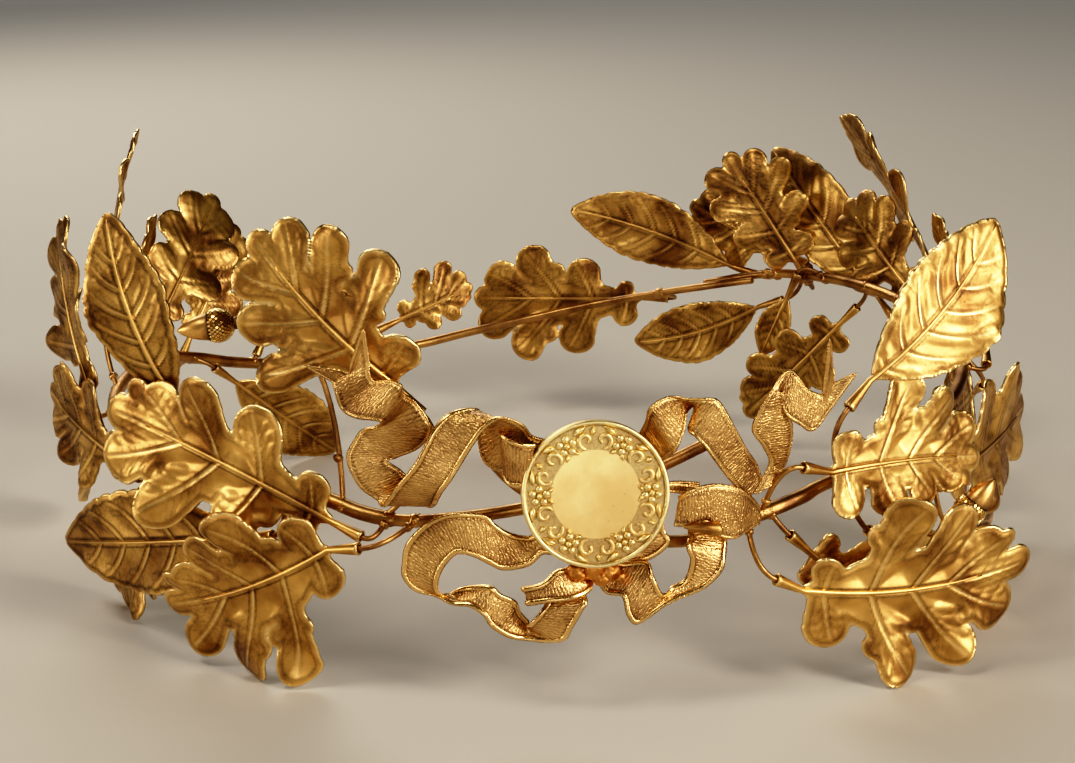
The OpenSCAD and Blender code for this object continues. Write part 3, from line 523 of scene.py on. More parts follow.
# A leaf's row: name, stem, root angle on the stem, base, tip, direction the face looks (turn, rise),
# reach of each lobe on the left and, if it differs, on the right in hundredths of its length, and
# for some a sideways bend, how finely it is made and how far the socket is turned
Leaf = namedtuple("Leaf", "name stem root base tip looks left right bend step turned",
                  defaults=(None, 0.0, PLAIN, 0))
LEAVES = [
    Leaf("oak_leaf_01", LEFT, 246, (248.3, 97, 63), (233, 103, 91), (-116, 8),
         (16, 46, 42, 34, 20), (23, 51, 47, 35, 20), 0.03, FINE),
    Leaf("oak_leaf_02", LEFT, 246.5, (241, 100, 36), (213, 109.5, 52), (-135, 5),
         (10, 30, 42, 38, 22), (14, 28, 32, 25, 18), -0.03, FINE),
    Leaf("oak_leaf_03", LEFT, 250, (241.6, 103.5, 31.6), (220.2, 105, 13.1), (-125, -18),
         (20, 56, 53, 46, 28), (22, 42, 37, 28, 20), 0.03, FINE, -15),
    Leaf("serrated_leaf_01", LEFT, 222, (220, 101.5, 54), (214, 108.5, 91), (-118, 10),
         (21,), bend=0.05, step=FINE),
    Leaf("serrated_leaf_02", LEFT, 233, (229, 98.5, 29), (199, 110, 16), (-140, -5), (18,), step=FINE),
    Leaf("oak_leaf_04", LEFT, 112, (106, 98, 30), (94, 99, 38), (-80, 10),
         (20, 50, 52, 36, 18), (15, 30, 35, 25, 18)),
    Leaf("serrated_leaf_03", LEFT, 148, (142, 89.5, 25), (122, 85, 0.3), (-70, -10), (22,), (20,)),
    Leaf("oak_leaf_05", LEFT, 160, (153, 98, 44), (135, 104, 70), (-70, 10),
         (12, 25, 30, 28, 16), (12, 28, 32, 28, 16)),
    Leaf("oak_leaf_06", LEFT, 150, (144, 100, 36), (132, 103, 61), (-60, 10), (12, 32, 36, 28, 18)),
    Leaf("oak_leaf_07", LEFT, 64, (68, 103, 34), (94, 105.8, 33), (-95, 5),
         (16, 34, 42, 36, 18), (10, 24, 36, 30, 18)),
    Leaf("serrated_leaf_04", RIGHT, 404, (53, 99, 46), (79, 101, 58), (-100, 5), (17,), (19,), -0.04),
    Leaf("oak_leaf_08", RIGHT, 398, (42.4, 100.5, 49.4), (54, 100, 74.5), (-105, 10),
         (20, 34, 44, 42, 26), (22, 38, 46, 38, 24)),
    Leaf("serrated_leaf_05", RIGHT, 399, (47, 96, 37), (68, 94, 24), (-110, 0), (20,), bend=0.05),
    Leaf("oak_leaf_09", RIGHT, 385, (31, 95.5, 37), (47, 89, 8), (-120, -10), (15, 25, 30, 25, 16)),
    Leaf("serrated_leaf_06", RIGHT, 374, (28.6, 105.2, 43), (51.6, 116.5, 75), (-130, 10), (15,), (17,)),
    Leaf("oak_leaf_10", RIGHT, 377, (19.5, 102.3, 48), (35.5, 104.3, 67), (-140, 10),
         (15, 35, 38, 32, 18)),
    Leaf("oak_leaf_11", RIGHT, 366, (19, 106, 56), (41, 112, 88), (-15, 10), (12, 25, 28, 25, 14)),
    Leaf("serrated_leaf_07", RIGHT, 303, (303, 101.5, 60), (320, 109, 88), (-75, 12),
         (22,), (27,), -0.05, FINE),
    Leaf("oak_leaf_12", RIGHT, 291, (297, 103, 44), (317, 111, 41), (-64, 8),
         (19, 48, 44, 35, 20), (25, 29, 28, 25, 18), 0.03, FINE, -12),
    Leaf("oak_leaf_13", RIGHT, 289, (293.2, 104.5, 21.7), (316, 121.8, 21.8), (-70, -6),
         (15, 45, 41, 30, 24), (25, 45, 45, 38, 26), -0.04, FINE, -28),
    Leaf("oak_leaf_14", RIGHT, 292, (297, 98, 26), (307, 101.5, 10), (-70, 5),
         (25, 42, 40, 30, 18), (25, 34, 34, 28, 18)),
    Leaf("oak_leaf_15", LEFT, 177, (166.5, 99, 62), (156.3, 98, 92.8), (-173, 0), (12, 26, 30, 26, 15)),
    Leaf("oak_leaf_16", LEFT, 172, (161, 97.5, 46), (152.5, 98, 71), (-180, 0), (12, 30, 34, 28, 15)),
    Leaf("oak_leaf_17", LEFT, 203, (198, 102, 46), (186, 105, 80), (-165, 5),
         (15, 42, 44, 36, 20), (15, 40, 42, 36, 20)),
    Leaf("oak_leaf_18", LEFT, 209, (207, 101, 36), (188, 109, 44), (-160, 0), (15, 36, 40, 32, 18)),
    Leaf("oak_leaf_19", LEFT, 218, (213, 99, 27), (196, 99, 2.2), (-155, -5), (15, 34, 38, 30, 18)),
    Leaf("serrated_leaf_08", LEFT, 190, (183, 101, 30), (166, 108, 8), (-185, -5), (20,)),
    Leaf("oak_leaf_20", LEFT, 134, (129, 99, 32), (120, 102, 54), (-70, 10), (15, 36, 40, 32, 18)),
    Leaf("oak_leaf_21", RIGHT, 314, (320, 102, 34), (345, 109, 38), (-30, 0), (15, 34, 38, 32, 18)),
    Leaf("oak_leaf_22", RIGHT, 322, (327, 98.5, 20.1), (349, 104, 8.1), (-30, -5), (15, 34, 38, 32, 18)),
    Leaf("serrated_leaf_09", RIGHT, 345, (351, 101, 48), (368, 109.2, 63), (0, 5), (20,)),
    Leaf("oak_leaf_23", RIGHT, 362, (367, 101, 49), (375, 101.5, 71), (-5, 0), (12, 28, 32, 26, 15)),
    Leaf("oak_leaf_24", RIGHT, 350, (357, 101, 34), (377, 106, 14), (5, -5), (15, 36, 40, 32, 18)),
    Leaf("serrated_leaf_10", RIGHT, 303, (309, 98, 24), (329, 102, 0.6), (-45, -5), (20,)),
    Leaf("serrated_leaf_11", RIGHT, 394, (400, 92, 42), (404, 90, 26), (-120, 0), (24,)),
    Leaf("oak_leaf_25", RIGHT, 406, (46, 105.5, 50), (62, 108, 60), (-105, 5), (15, 34, 38, 30, 18))]

# An acorn's row: name, stem, root angle on the stem, foot of the cup, direction point
Acorn = namedtuple("Acorn", "name stem root foot toward")
ACORNS = [
    Acorn("acorn_left", LEFT, 241, (229, 98, 72), (224, 106, 70.5)),
    Acorn("acorn_right", RIGHT, 309, (313, 110, 28), (315.7, 115.4, 38))]

# A ribbon's row: one edge's angle, radius and height, then the other's. A swallowtail's three points
# are its left and right tips and the notch
RIBBONS = {
    "ribbon_tail_left": ([
        (-96, 99.5, 47.5, -94, 98.8, 53.5), (-99.5, 98.8, 48.0, -96.5, 100, 55.0),
        (-101.8, 97.8, 49.5, -97.5, 103, 58.0), (-102.6, 97.2, 54.5, -98.8, 104, 59.5),
        (-102.5, 98.5, 59.5, -100, 103.5, 59.5), (-105, 101, 59.5, -101.5, 103, 57.5),
        (-106.5, 102.5, 57.0, -103, 103, 53.5), (-107.5, 103.5, 53.5, -104, 103, 50.5),
        (-108.5, 104, 50.0, -105, 103.5, 47.5), (-110.5, 103.5, 45.5, -106, 103, 45.0),
        (-112.5, 101, 41.0, -107.5, 99.5, 41.0), (-113.5, 99.5, 41.5, -109.5, 97.5, 43.5),
        (-115, 100.5, 43.5, -111, 99, 47.0), (-116, 101, 46.5, -112.5, 99.5, 49.0),
        (-116.5, 101, 49.5, -111.5, 98.5, 50.0), (-116, 100.5, 52.0, -109, 98, 52.0),
        (-115, 100, 54.5, -107.5, 99.5, 56.0), (-113, 100.5, 56.0, -109, 99.5, 60.5),
        (-112, 103.5, 58.0, -110, 102, 63.0), (-113, 104, 58.5, -110, 103.5, 65.0),
        (-115, 103.5, 58.5, -111.5, 103, 65.5), (-116.5, 103, 59.5, -113, 102.5, 65.0),
        (-117, 103.5, 62.5, -113.5, 103, 66.5),
        (-117.5, 103, 64.5, -113.5, 103, 69.0)],
        ((-120, 105, 67.5), (-113.5, 105, 75.5), (-115.5, 103, 66.5))),
    "ribbon_loop_left": ([
        (-92.5, 98.7, 38.5, -91.5, 98.7, 34.5), (-95, 99.3, 36.8, -94, 99.4, 32.5),
        (-97, 99.7, 35.5, -95.5, 99.7, 32.5), (-99, 101, 36.5, -97, 100.5, 30.5),
        (-100.5, 102, 38.5, -99.5, 101.5, 30.0), (-101.5, 102.5, 40.5, -101, 102.5, 31.5),
        (-103.5, 103, 41.0, -102.5, 103, 33.0), (-105.5, 103, 40.5, -104, 103, 33.5),
        (-107.5, 103, 38.5, -105, 103, 32.5), (-109.5, 103, 34.5, -106, 103, 30.0),
        (-110, 103, 30.5, -106.5, 103, 27.5), (-110, 103, 28.0, -106.5, 102.5, 25.5),
        (-109, 102.5, 25.5, -106, 101, 24.0), (-107, 101.5, 24.0, -105.5, 99.5, 23.5),
        (-105, 101.5, 22.5, -104.5, 99, 24.5), (-103, 102, 22.5, -103, 100, 25.5),
        (-101.5, 102.5, 21.0, -101, 101, 26.0), (-101, 102.5, 19.5, -100, 101, 24.5),
        (-100.5, 102.5, 18.5, -98.5, 100.5, 23.0), (-99, 101.5, 16.5, -98, 99.5, 20.5),
        (-97, 100.5, 15.5, -97, 98.5, 18.0), (-93.5, 102, 16.0, -97, 102, 19.0),
        (-92.5, 103, 19.0, -96.5, 103, 20.0), (-91.5, 103.5, 22.5, -95.5, 103, 22.0),
        (-91, 103, 24.0, -95, 102, 24.0), (-92, 100.5, 25.0, -96.5, 100.5, 26.0),
        (-97, 102.5, 23.5, -97.5, 102.5, 26.5), (-95, 104, 24.5, -95.5, 103, 27.5),
        (-92.5, 104, 25.0, -94, 102, 29.5), (-90.5, 102, 26.0, -92, 100.5, 30.0),
        (-90.4, 99.7, 28.0, -91.8, 99.7, 31.5)], ()),
    "ribbon_loop_right": ([
        (-89.6, 99.6, 28.0, -88.6, 99.6, 31.5), (-88.7, 101, 25.0, -87, 100, 30.0),
        (-87, 102.5, 24.5, -84.5, 101.5, 30.5), (-86.5, 103.5, 21.0, -84, 103, 28.0),
        (-85.5, 103.5, 19.5, -83, 103, 24.5), (-82.5, 103, 22.5, -81.5, 101.5, 25.0),
        (-78.5, 103, 25.0, -80, 101.5, 26.5), (-76.5, 103, 28.0, -79.5, 102, 30.5),
        (-76, 102.5, 30.5, -80, 102, 33.0), (-75.5, 101, 33.0, -79.5, 100.5, 34.5),
        (-75.5, 99.6, 36.0, -79.5, 99.4, 37.0)], ()),
    "ribbon_knot": ([
        (-74, 97.6, 36.0, -74, 97.6, 41.0), (-71.7, 98, 34.5, -71.7, 98, 39.0),
        (-70.8, 99.5, 35.0, -70.8, 99.5, 37.5), (-73, 101, 34.5, -72, 101, 40.0),
        (-74.5, 102.5, 34.0, -74, 102.5, 43.0), (-76.5, 103, 35.0, -76, 103, 44.5),
        (-78, 103, 38.0, -78, 103, 45.0), (-80, 102.5, 37.5, -80, 102.5, 44.0),
        (-81.5, 101.5, 37.5, -81, 101.5, 42.5)], ()),
    "ribbon_rise": ([
        (-78, 98.5, 41.5, -78, 98.5, 44.0), (-82, 99.5, 43.5, -81.5, 99.5, 45.0),
        (-83.5, 99.7, 41.5, -82.5, 100, 43.0), (-83.5, 99.8, 37.0, -82.5, 100.5, 36.5),
        (-85, 99.8, 33.5, -82, 101, 34.0), (-86, 99.5, 33.0, -84, 100.5, 31.0),
        (-88, 99.3, 33.5, -87, 99.8, 30.0)], ()),
    "ribbon_arch": ([
        (-86, 98.2, 52.0, -84, 98.2, 46.5), (-85, 99.0, 54.5, -83, 98.7, 48.5),
        (-84.5, 100.8, 57.5, -82, 99.8, 50.5), (-84.5, 103, 60.5, -81.5, 102, 52.5),
        (-83.5, 103, 62.0, -80.5, 101.5, 56.0), (-82, 102.5, 62.5, -80, 100.5, 59.0),
        (-80.5, 103, 62.0, -78.5, 98.5, 59.5), (-78.5, 104, 62.0, -80, 101, 56.0),
        (-77.5, 104, 61.5, -79.5, 103, 55.0), (-76.5, 104, 59.0, -78.5, 103.5, 53.0),
        (-75, 103.5, 54.5, -77.5, 103.5, 50.5), (-73.5, 102.5, 50.5, -76, 103, 47.0),
        (-72, 101, 47.5, -74.5, 102, 44.0), (-70.9, 100, 44.0, -73.0, 101, 40.5)], ()),
    "ribbon_tail_right": ([
        (-71.6, 99.6, 41.0, -69.8, 99.6, 42.0), (-70.5, 100, 44.5, -68, 100, 46.0),
        (-70, 100.5, 47.5, -68, 101, 48.0), (-71.5, 102, 51.5, -68, 102, 51.5),
        (-73, 103, 55.0, -68.5, 103, 55.0), (-72.5, 103.5, 58.5, -69.5, 103.5, 58.5),
        (-71.5, 104, 61.5, -70, 104, 61.5), (-70, 103.5, 64.5, -70, 102.5, 62.0),
        (-69, 103.5, 65.5, -70, 103.5, 60.5), (-68.5, 104.5, 64.5, -69.5, 104.5, 57.5),
        (-67.5, 105, 62.0, -68, 105, 55.5), (-66, 105, 60.5, -66.5, 105, 54.0),
        (-65.5, 105.5, 60.5, -65, 105.5, 57.0)],
        ((-66, 108, 72.0), (-62.5, 108, 64.5), (-64.6, 106, 62.5)))}

# %% [markdown]
# ## The leaves
# A real leaf is stamped from brass sheet over a die, which raises the rib, one vein into each lobe
# and a rounded rim, and hollows the cells between. Its base is rolled into a socket for the wire.
#
# One rule makes all 36. Each lobe lies on a vein, and the table gives how far the five lobes on
# each side reach. A toothed leaf is a long oval with small teeth and six veins on each side.

# %% Define where a leaf's lobes and veins lie
SOCKET_LENGTH = 7.0
LEAF_SHEET = 0.6
LOBE_AT = [0.07, 0.33, 0.57, 0.79]
VEIN_AT = {OAK: LOBE_AT, SERRATED: [0.06, 0.19, 0.33, 0.47, 0.62, 0.77]}
VEIN_POINTS = 12
RIB_START = 0.03
RIB_END = {OAK: 0.8, SERRATED: 0.97}
BAY_DEPTH = 0.46
FAR_OFF = 1e9


def kind_of(leaf):
    return OAK if leaf.name.startswith("oak") else SERRATED


def lobes_of(leaf):
    """For each side, its sign and its lobes' reach as shares of the leaf's length."""
    for sign, lobes in ((1, leaf.left), (-1, leaf.right or leaf.left)):
        yield sign, [lobe / 100 for lobe in lobes]


def vein_turn(kind, share):
    """The angle between the rib and the veins, at a share of the rib's length."""
    if kind == OAK:
        return math.radians(max((80 - 50 * share) * (1 - share**5) + 4 * share, 27))
    return math.radians(56 - 26 * share)


def rib_point(kind, size, share):
    return np.array([(RIB_START + (RIB_END[kind] - RIB_START) * share) * size, 0.0])


def vein_curve(kind, size, share, long):
    """A vein's line from the rib, curved a little towards the tip: points on the flat leaf in mm."""
    start = rib_point(kind, size, share)
    turn = vein_turn(kind, share)
    pull = start + 0.5 * long * heading(turn + (0.12 if kind == OAK else 0.30))
    t = np.linspace(0, 1, VEIN_POINTS)[:, None]
    return pulled_curve(start, pull, start + long * heading(turn), t)


def oak_side(size, lobes):
    """One side's lobes as (vein, radius of the round end), and the bays' bottoms between them."""
    veins = [vein_curve(OAK, size, share, lobe * size) for share, lobe in zip(LOBE_AT, lobes)]
    spans = [np.linalg.norm(b[-1] - a[-1]) for a, b in zip(veins[:-1], veins[1:])]
    radii = []
    for i, lobe in enumerate(lobes[:4]):
        room = min(spans[max(i - 1, 0):i + 1])
        radii.append(float(np.clip(0.44 * room, 0.045 * size, min(0.102, 0.46 * lobe) * size)))
    bays = []
    for i in range(3):
        share = (LOBE_AT[i] + LOBE_AT[i + 1]) / 2
        deep = BAY_DEPTH * (lobes[i] + lobes[i + 1]) / 2 * size
        bays.append(rib_point(OAK, size, share) + deep * heading(vein_turn(OAK, share)))
    return list(zip(veins, radii)), bays


# %% [markdown]
# The outline is drawn as a distance, as a die cutter would with discs and a file: how far a point
# lies outside the leaf, and less than 0 inside it. A lobe is a bar with round ends that widens
# outwards, the body is a polygon through the bays' bottoms, and a soft minimum fills the corners
# where they meet. That gives round lobes and narrow bays with round bottoms. A lobe has a smaller
# one on each side, and TWIN_LOBES says how far back it sits and how wide it is.

# %% Measure the distance from a leaf's outline
TWIN_LOBES = ((1, 2.2, 0.52), (-1, 3.0, 0.40))
LOBE_BLEND, BODY_BLEND = 0.7, 0.035
# widths as shares of a lobe's round end: where the lobe and its twin start, how far aside the twin is
LOBE_ROOT, TWIN_ROOT, TWIN_ASIDE = 0.55, 0.3, 0.74


def bar_distance(spots, a, b, ra=0, rb=0):
    """Distance from a straight bar with round ends, whose radius goes from ra to rb."""
    along = np.clip(((spots - a) @ (b - a)) / max((b - a) @ (b - a), 1e-9), 0, 1)
    return np.linalg.norm(spots - a - along[:, None] * (b - a), axis=1) - (ra + (rb - ra) * along)


def line_distance(spots, line):
    return np.min([bar_distance(spots, a, b) for a, b in zip(line[:-1], line[1:])], axis=0)


def polygon_distance(spots, corners):
    """Signed distance from a polygon, less than 0 inside."""
    far = np.full(len(spots), FAR_OFF)
    inside = np.zeros(len(spots), bool)
    for a, b in zip(corners, np.roll(corners, -1, axis=0)):
        far = np.minimum(far, bar_distance(spots, a, b))
        crosses = (a[1] > spots[:, 1]) != (b[1] > spots[:, 1])
        reach = a[0] + (spots[:, 1] - a[1]) * (b[0] - a[0]) / (b[1] - a[1] + 1e-12)
        inside ^= crosses & (spots[:, 0] < reach)
    return np.where(inside, -far, far)


def soft_minimum(a, b, blend):
    h = np.clip(0.5 + 0.5 * (b - a) / blend, 0, 1)
    return b * (1 - h) + a * h - blend * h * (1 - h)


def oak_distance(spots, size, sides, seed):
    tip_long = sum(lobes[4] for _, lobes in sides) / 2 * size
    rib_tip = rib_point(OAK, size, 1)
    corners, bars = {}, []
    for sign, lobes in sides:
        lobe_ends, bays = oak_side(size, lobes)
        mirror = np.array([1, sign])
        corners[sign] = [np.array([0.2, 0.7]) * mirror] + [bay * mirror for bay in bays] + [
            (rib_tip + np.array([0, 0.055 * size])) * mirror]
        for i, (vein, radius) in enumerate(lobe_ends):
            end = vein[-1] + unit(vein[-2] - vein[-1]) * radius
            bars.append((rib_point(OAK, size, LOBE_AT[i]) * mirror, end * mirror, LOBE_ROOT * radius, radius))
            whole = vein[-1] - vein[0]
            aside = unit(np.array([-whole[1], whole[0]]))
            for step, back, wide in TWIN_LOBES:
                step = step if (seed + i) % 2 else -step
                bump = vein[-1] - unit(whole) * radius * back + aside * step * radius * TWIN_ASIDE
                if i and np.linalg.norm(whole) > radius * (back + 0.6):
                    bars.append((vein[5] * mirror, bump * mirror, TWIN_ROOT * radius, wide * radius))
    tip_radius = min(0.075 * size, 0.40 * tip_long)
    tip_end = rib_tip + np.array([tip_long - tip_radius, 0])
    bars.append((rib_tip - np.array([0.12 * size, 0]), tip_end, tip_radius, tip_radius))
    for sign in (1, -1):
        bars.append((rib_tip, rib_tip + np.array([0.40 * tip_long, sign * 0.54 * tip_long]),
                     0.5 * tip_radius, 0.64 * tip_radius))
    lobes_only = np.full(len(spots), FAR_OFF)
    for bar in bars:
        lobes_only = soft_minimum(lobes_only, bar_distance(spots, *bar), LOBE_BLEND)
    body = polygon_distance(spots, np.array(corners[1] + corners[-1][::-1]))
    return soft_minimum(lobes_only, body, BODY_BLEND * size)


def serrated_distance(spots, size, sides, seed):
    share = np.linspace(0, 1, 170)
    oval = np.sin(np.pi * share**1.04) ** 0.78
    line = []
    for sign, lobes in sides:
        tooth = np.abs(np.sin(np.pi * (12 * share + 0.25 * np.sin(9 * share + seed + sign)))) ** 0.6
        wide = (lobes[0] * oval * (0.955 + 0.06 * tooth) + 0.012) * size
        line.append(np.stack([(RIB_START + 0.965 * share) * size, sign * wide], -1))
    return polygon_distance(spots, np.vstack([line[0], line[1][::-1]]))


# %% [markdown]
# The sheet itself is a fine square net. Its knots outside the leaf that touch it are pulled in
# to the outline, the row behind them is set at an even distance from it, and knots that lie almost
# on a vein are moved onto it. So the bead of the rim and the ridges are smooth lines, no staircases.

# %% Cut a net to an outline
# where the rows behind the outline are set, in steps: the nearest they may lie, and how much of
# their own depth they keep
EDGE_MARGIN = 0.35
SECOND_ROW, THIRD_ROW = (0.55, 0.2), (1.25, 0.3)


def cut_net(distance, low, high, step):
    """Points of a square net inside an outline, and its quads."""
    xs = np.arange(low[0], high[0] + step, step)
    ys = np.arange(low[1], high[1] + step, step)
    spots = np.stack(np.meshgrid(xs, ys, indexing="ij"), -1).reshape(-1, 2)
    inside = distance(spots) < -EDGE_MARGIN * step
    quads = np.array(grid_faces(len(xs), len(ys)))
    quads = quads[inside[quads].any(axis=1)]
    used = np.unique(quads)
    pull = used[~inside[used]]
    depth = -distance(spots[used])
    second = used[inside[used] & (depth < step)]
    third = used[(depth >= step) & (depth < 2 * step)]
    goals = [-(near + kept * (-distance(spots[row]) / step - margin)) * step for (near, kept), row, margin
             in ((SECOND_ROW, second, EDGE_MARGIN), (THIRD_ROW, third, 1))]
    for chosen, target in ((pull, 0), (second, goals[0]), (third, goals[1])):
        for _ in range(3):
            here = spots[chosen]
            slope = [distance(here + d) - distance(here - d) for d in ([0.05, 0], [0, 0.05])]
            slope = np.stack(slope, -1) / 0.1
            steep = np.maximum(np.linalg.norm(slope, axis=1), 0.3)[:, None]
            spots[chosen] = here - slope / steep**2 * (distance(here) - target)[:, None]
    renumber = np.full(len(spots), -1)
    renumber[used] = np.arange(len(used))
    return spots[used], renumber[quads]


def snap_to(flat, lines, free, reach):
    """Moves the free points that are nearer than reach to a line onto it."""
    nearest = np.full(len(flat), reach)
    target = flat.copy()
    for line in lines:
        for a, b in zip(line[:-1], line[1:]):
            along = np.clip(((flat - a) @ (b - a)) / ((b - a) @ (b - a)), 0, 1)
            foot = a + along[:, None] * (b - a)
            off = np.linalg.norm(flat - foot, axis=1)
            closer = free & (off < nearest)
            nearest[closer] = off[closer]
            target[closer] = foot[closer]
    return target


# %% [markdown]
# The relief comes from distances too. A vein is a narrow ridge with a groove on each side that
# keeps its tarnish, and finer veins branch from it. The sheet is puffed up between the veins, and
# the rim is a round bead. The same distances say how hollow each point is, from less than 0 on the
# worn ridges to 1 in the grooves, which is what the finish reads.
#
# Each of them is a bell: how strong it is, how far its middle lies from the line, and how wide it
# is, in millimetres.

# %% Define the relief of a leaf
RIB_HIGH, RIB_WIDE, RIB_GROOVE, RIB_WORN = 0.30, 0.5, 0.75, 0.3
VEIN_HIGH, VEIN_WIDE, VEIN_GROOVE, VEIN_WORN = 0.46, 0.36, 0.62, 0.8
TWIG_HIGH, TWIG_WIDE, TWIG_GROOVE = 0.15, 0.30, 0.28
RIM_HIGH, RIM_WIDE, RIM_GROOVE, RIM_WORN = 0.36, 0.55, 0.50, 0.62
PUFF_HIGH = {OAK: 1.35, SERRATED: 0.65}
PUFF_REACH = {OAK: 3.0, SERRATED: 2.5}
TWIGS = {OAK: ((0.28, 0.32), (0.48, 0.30), (0.68, 0.24)), SERRATED: ((0.72, 0.26),)}


def bell(distance, centre, wide):
    return np.exp(-(((distance - centre) / wide) ** 2))


def leaf_twigs(kind, veins):
    """The short veins that branch from the main ones, as (root, end)."""
    for vein in veins:
        long = np.linalg.norm(vein[-1] - vein[0])
        ahead = unit(vein[-1] - vein[0])
        for at, share in TWIGS[kind]:
            for turn in (math.radians(40), math.radians(-40)):
                c, s = heading(turn)
                toward = np.array([ahead[0] * c - ahead[1] * s, ahead[0] * s + ahead[1] * c])
                root = vein[int(at * (VEIN_POINTS - 1))]
                yield root, root + toward * long * share


def leaf_relief(kind, size, flat, rim_off, veins):
    """How far points stand out, in mm, and how hollow they are."""
    rib_tip = rib_point(kind, size, 1) + np.array([4.0, 0])
    rib_off = bar_distance(flat, np.array([-9.0, 0]), rib_tip)
    thin = np.clip((rib_tip[0] - flat[:, 0]) / (0.3 * size), 0, 1) ** 0.7
    relief = RIB_HIGH * thin * bell(rib_off, 0, RIB_WIDE)
    groove = RIB_GROOVE * thin * bell(rib_off, 0.35 + 0.5 * thin, 0.3)
    worn = RIB_WORN * thin * bell(rib_off, 0, 0.4)
    nearest = rib_off.copy()
    for vein in veins:
        near = line_distance(flat, vein)
        out = np.linalg.norm(flat - vein[0], axis=1) / np.linalg.norm(vein[-1] - vein[0])
        fade = np.clip(1.1 - out, 0, 1) ** 0.5
        relief = np.maximum(relief, VEIN_HIGH * fade * bell(near, 0, VEIN_WIDE))
        groove = np.maximum(groove, VEIN_GROOVE * fade * bell(near, 0.72, 0.27))
        worn = np.maximum(worn, VEIN_WORN * fade * bell(near, 0, 0.3))
        nearest = np.minimum(nearest, near)
    for root, end in leaf_twigs(kind, veins):
        twig = bar_distance(flat, root, end)
        relief = np.maximum(relief, TWIG_HIGH * bell(twig, 0, TWIG_WIDE))
        groove = np.maximum(groove, TWIG_GROOVE * bell(twig, 0.6, 0.3))
        nearest = np.minimum(nearest, twig * 1.5 + 1.1)
    puff = PUFF_HIGH[kind] * (1 - bell(nearest, 0, PUFF_REACH[kind]))
    puff = puff * (0.40 + 0.60 * (1 - bell(rim_off, 0, 2.4)))
    rim = bell(rim_off, 0.28, RIM_WIDE)
    groove = np.maximum(groove, RIM_GROOVE * bell(rim_off, 1.15, 0.45))
    worn = np.maximum(worn, RIM_WORN * bell(rim_off, 0.05, 0.28))
    return relief + puff + RIM_HIGH * rim, groove * (1 - rim) - worn


# %% [markdown]
# A flat leaf is then bent: sideways along its rib, hollow across it, and each lobe a little up or
# down. The socket is the same metal rolled into a tube. It flares to an open mouth, and thins out
# into the rib that runs on to the tip.

# %% Make a leaf and its socket
ARCH = 0.16
CUPPING = {OAK: {FINE: 0.25, PLAIN: 0.2}, SERRATED: {FINE: 0.3, PLAIN: 0.3}}
NET_HALF = {OAK: 0.8, SERRATED: 0.4}
MOST_HOLLOW = 0.72
# the socket from its bore's end back to the mouth and forward to the blade: place and radius
SOCKET = [(-4.4, 0.62), (-7, 0.66), (-7, 1.12), (-6.9, 1.24), (-6.6, 1.25), (-6, 1.18), (-5, 1.08),
          (-3.6, 0.96), (-2.4, 0.84), (-1.2, 0.74), (0, 0.66)]
RIB_ROWS, SOCKET_SIDES = 26, 16


def leaf_frame(leaf):
    """A leaf's base, its length, and the directions of its length, its left side and its face."""
    base, tip = place(*leaf.base), place(*leaf.tip)
    ahead = unit(tip - base)
    turn, rise = (math.radians(a) for a in leaf.looks)
    face = np.append(heading(turn) * math.cos(rise), math.sin(rise))
    face = unit(face - ahead * (face @ ahead))
    return base, np.linalg.norm(tip - base), (ahead, np.cross(face, ahead), face)


def leaf_veins(kind, size, sides, distance):
    """The side veins, to a lobe's end or almost to a toothed edge, and a lobed leaf's tip vein."""
    veins = []
    if kind == OAK:
        tip_vein = (0.077 + 0.36 * sum(lobes[4] for _, lobes in sides)) * size
        veins.append(rib_point(kind, size, 0.9) + np.outer(np.linspace(0, tip_vein, VEIN_POINTS), [1, 0]))
    for sign, lobes in sides:
        mirror = np.array([1, sign])
        for i, share in enumerate(VEIN_AT[kind]):
            long = lobes[min(i, len(lobes) - 1)] * size * 0.93
            if kind == SERRATED:
                reach = np.linspace(0.05, 0.7, 90) * size
                ends = rib_point(kind, size, share) + np.outer(reach, heading(vein_turn(kind, share)))
                long = reach[max(int(np.argmax(distance(ends * mirror) > -1.1)) - 1, 0)]
            veins.append(vein_curve(kind, size, share, long) * mirror)
    return veins


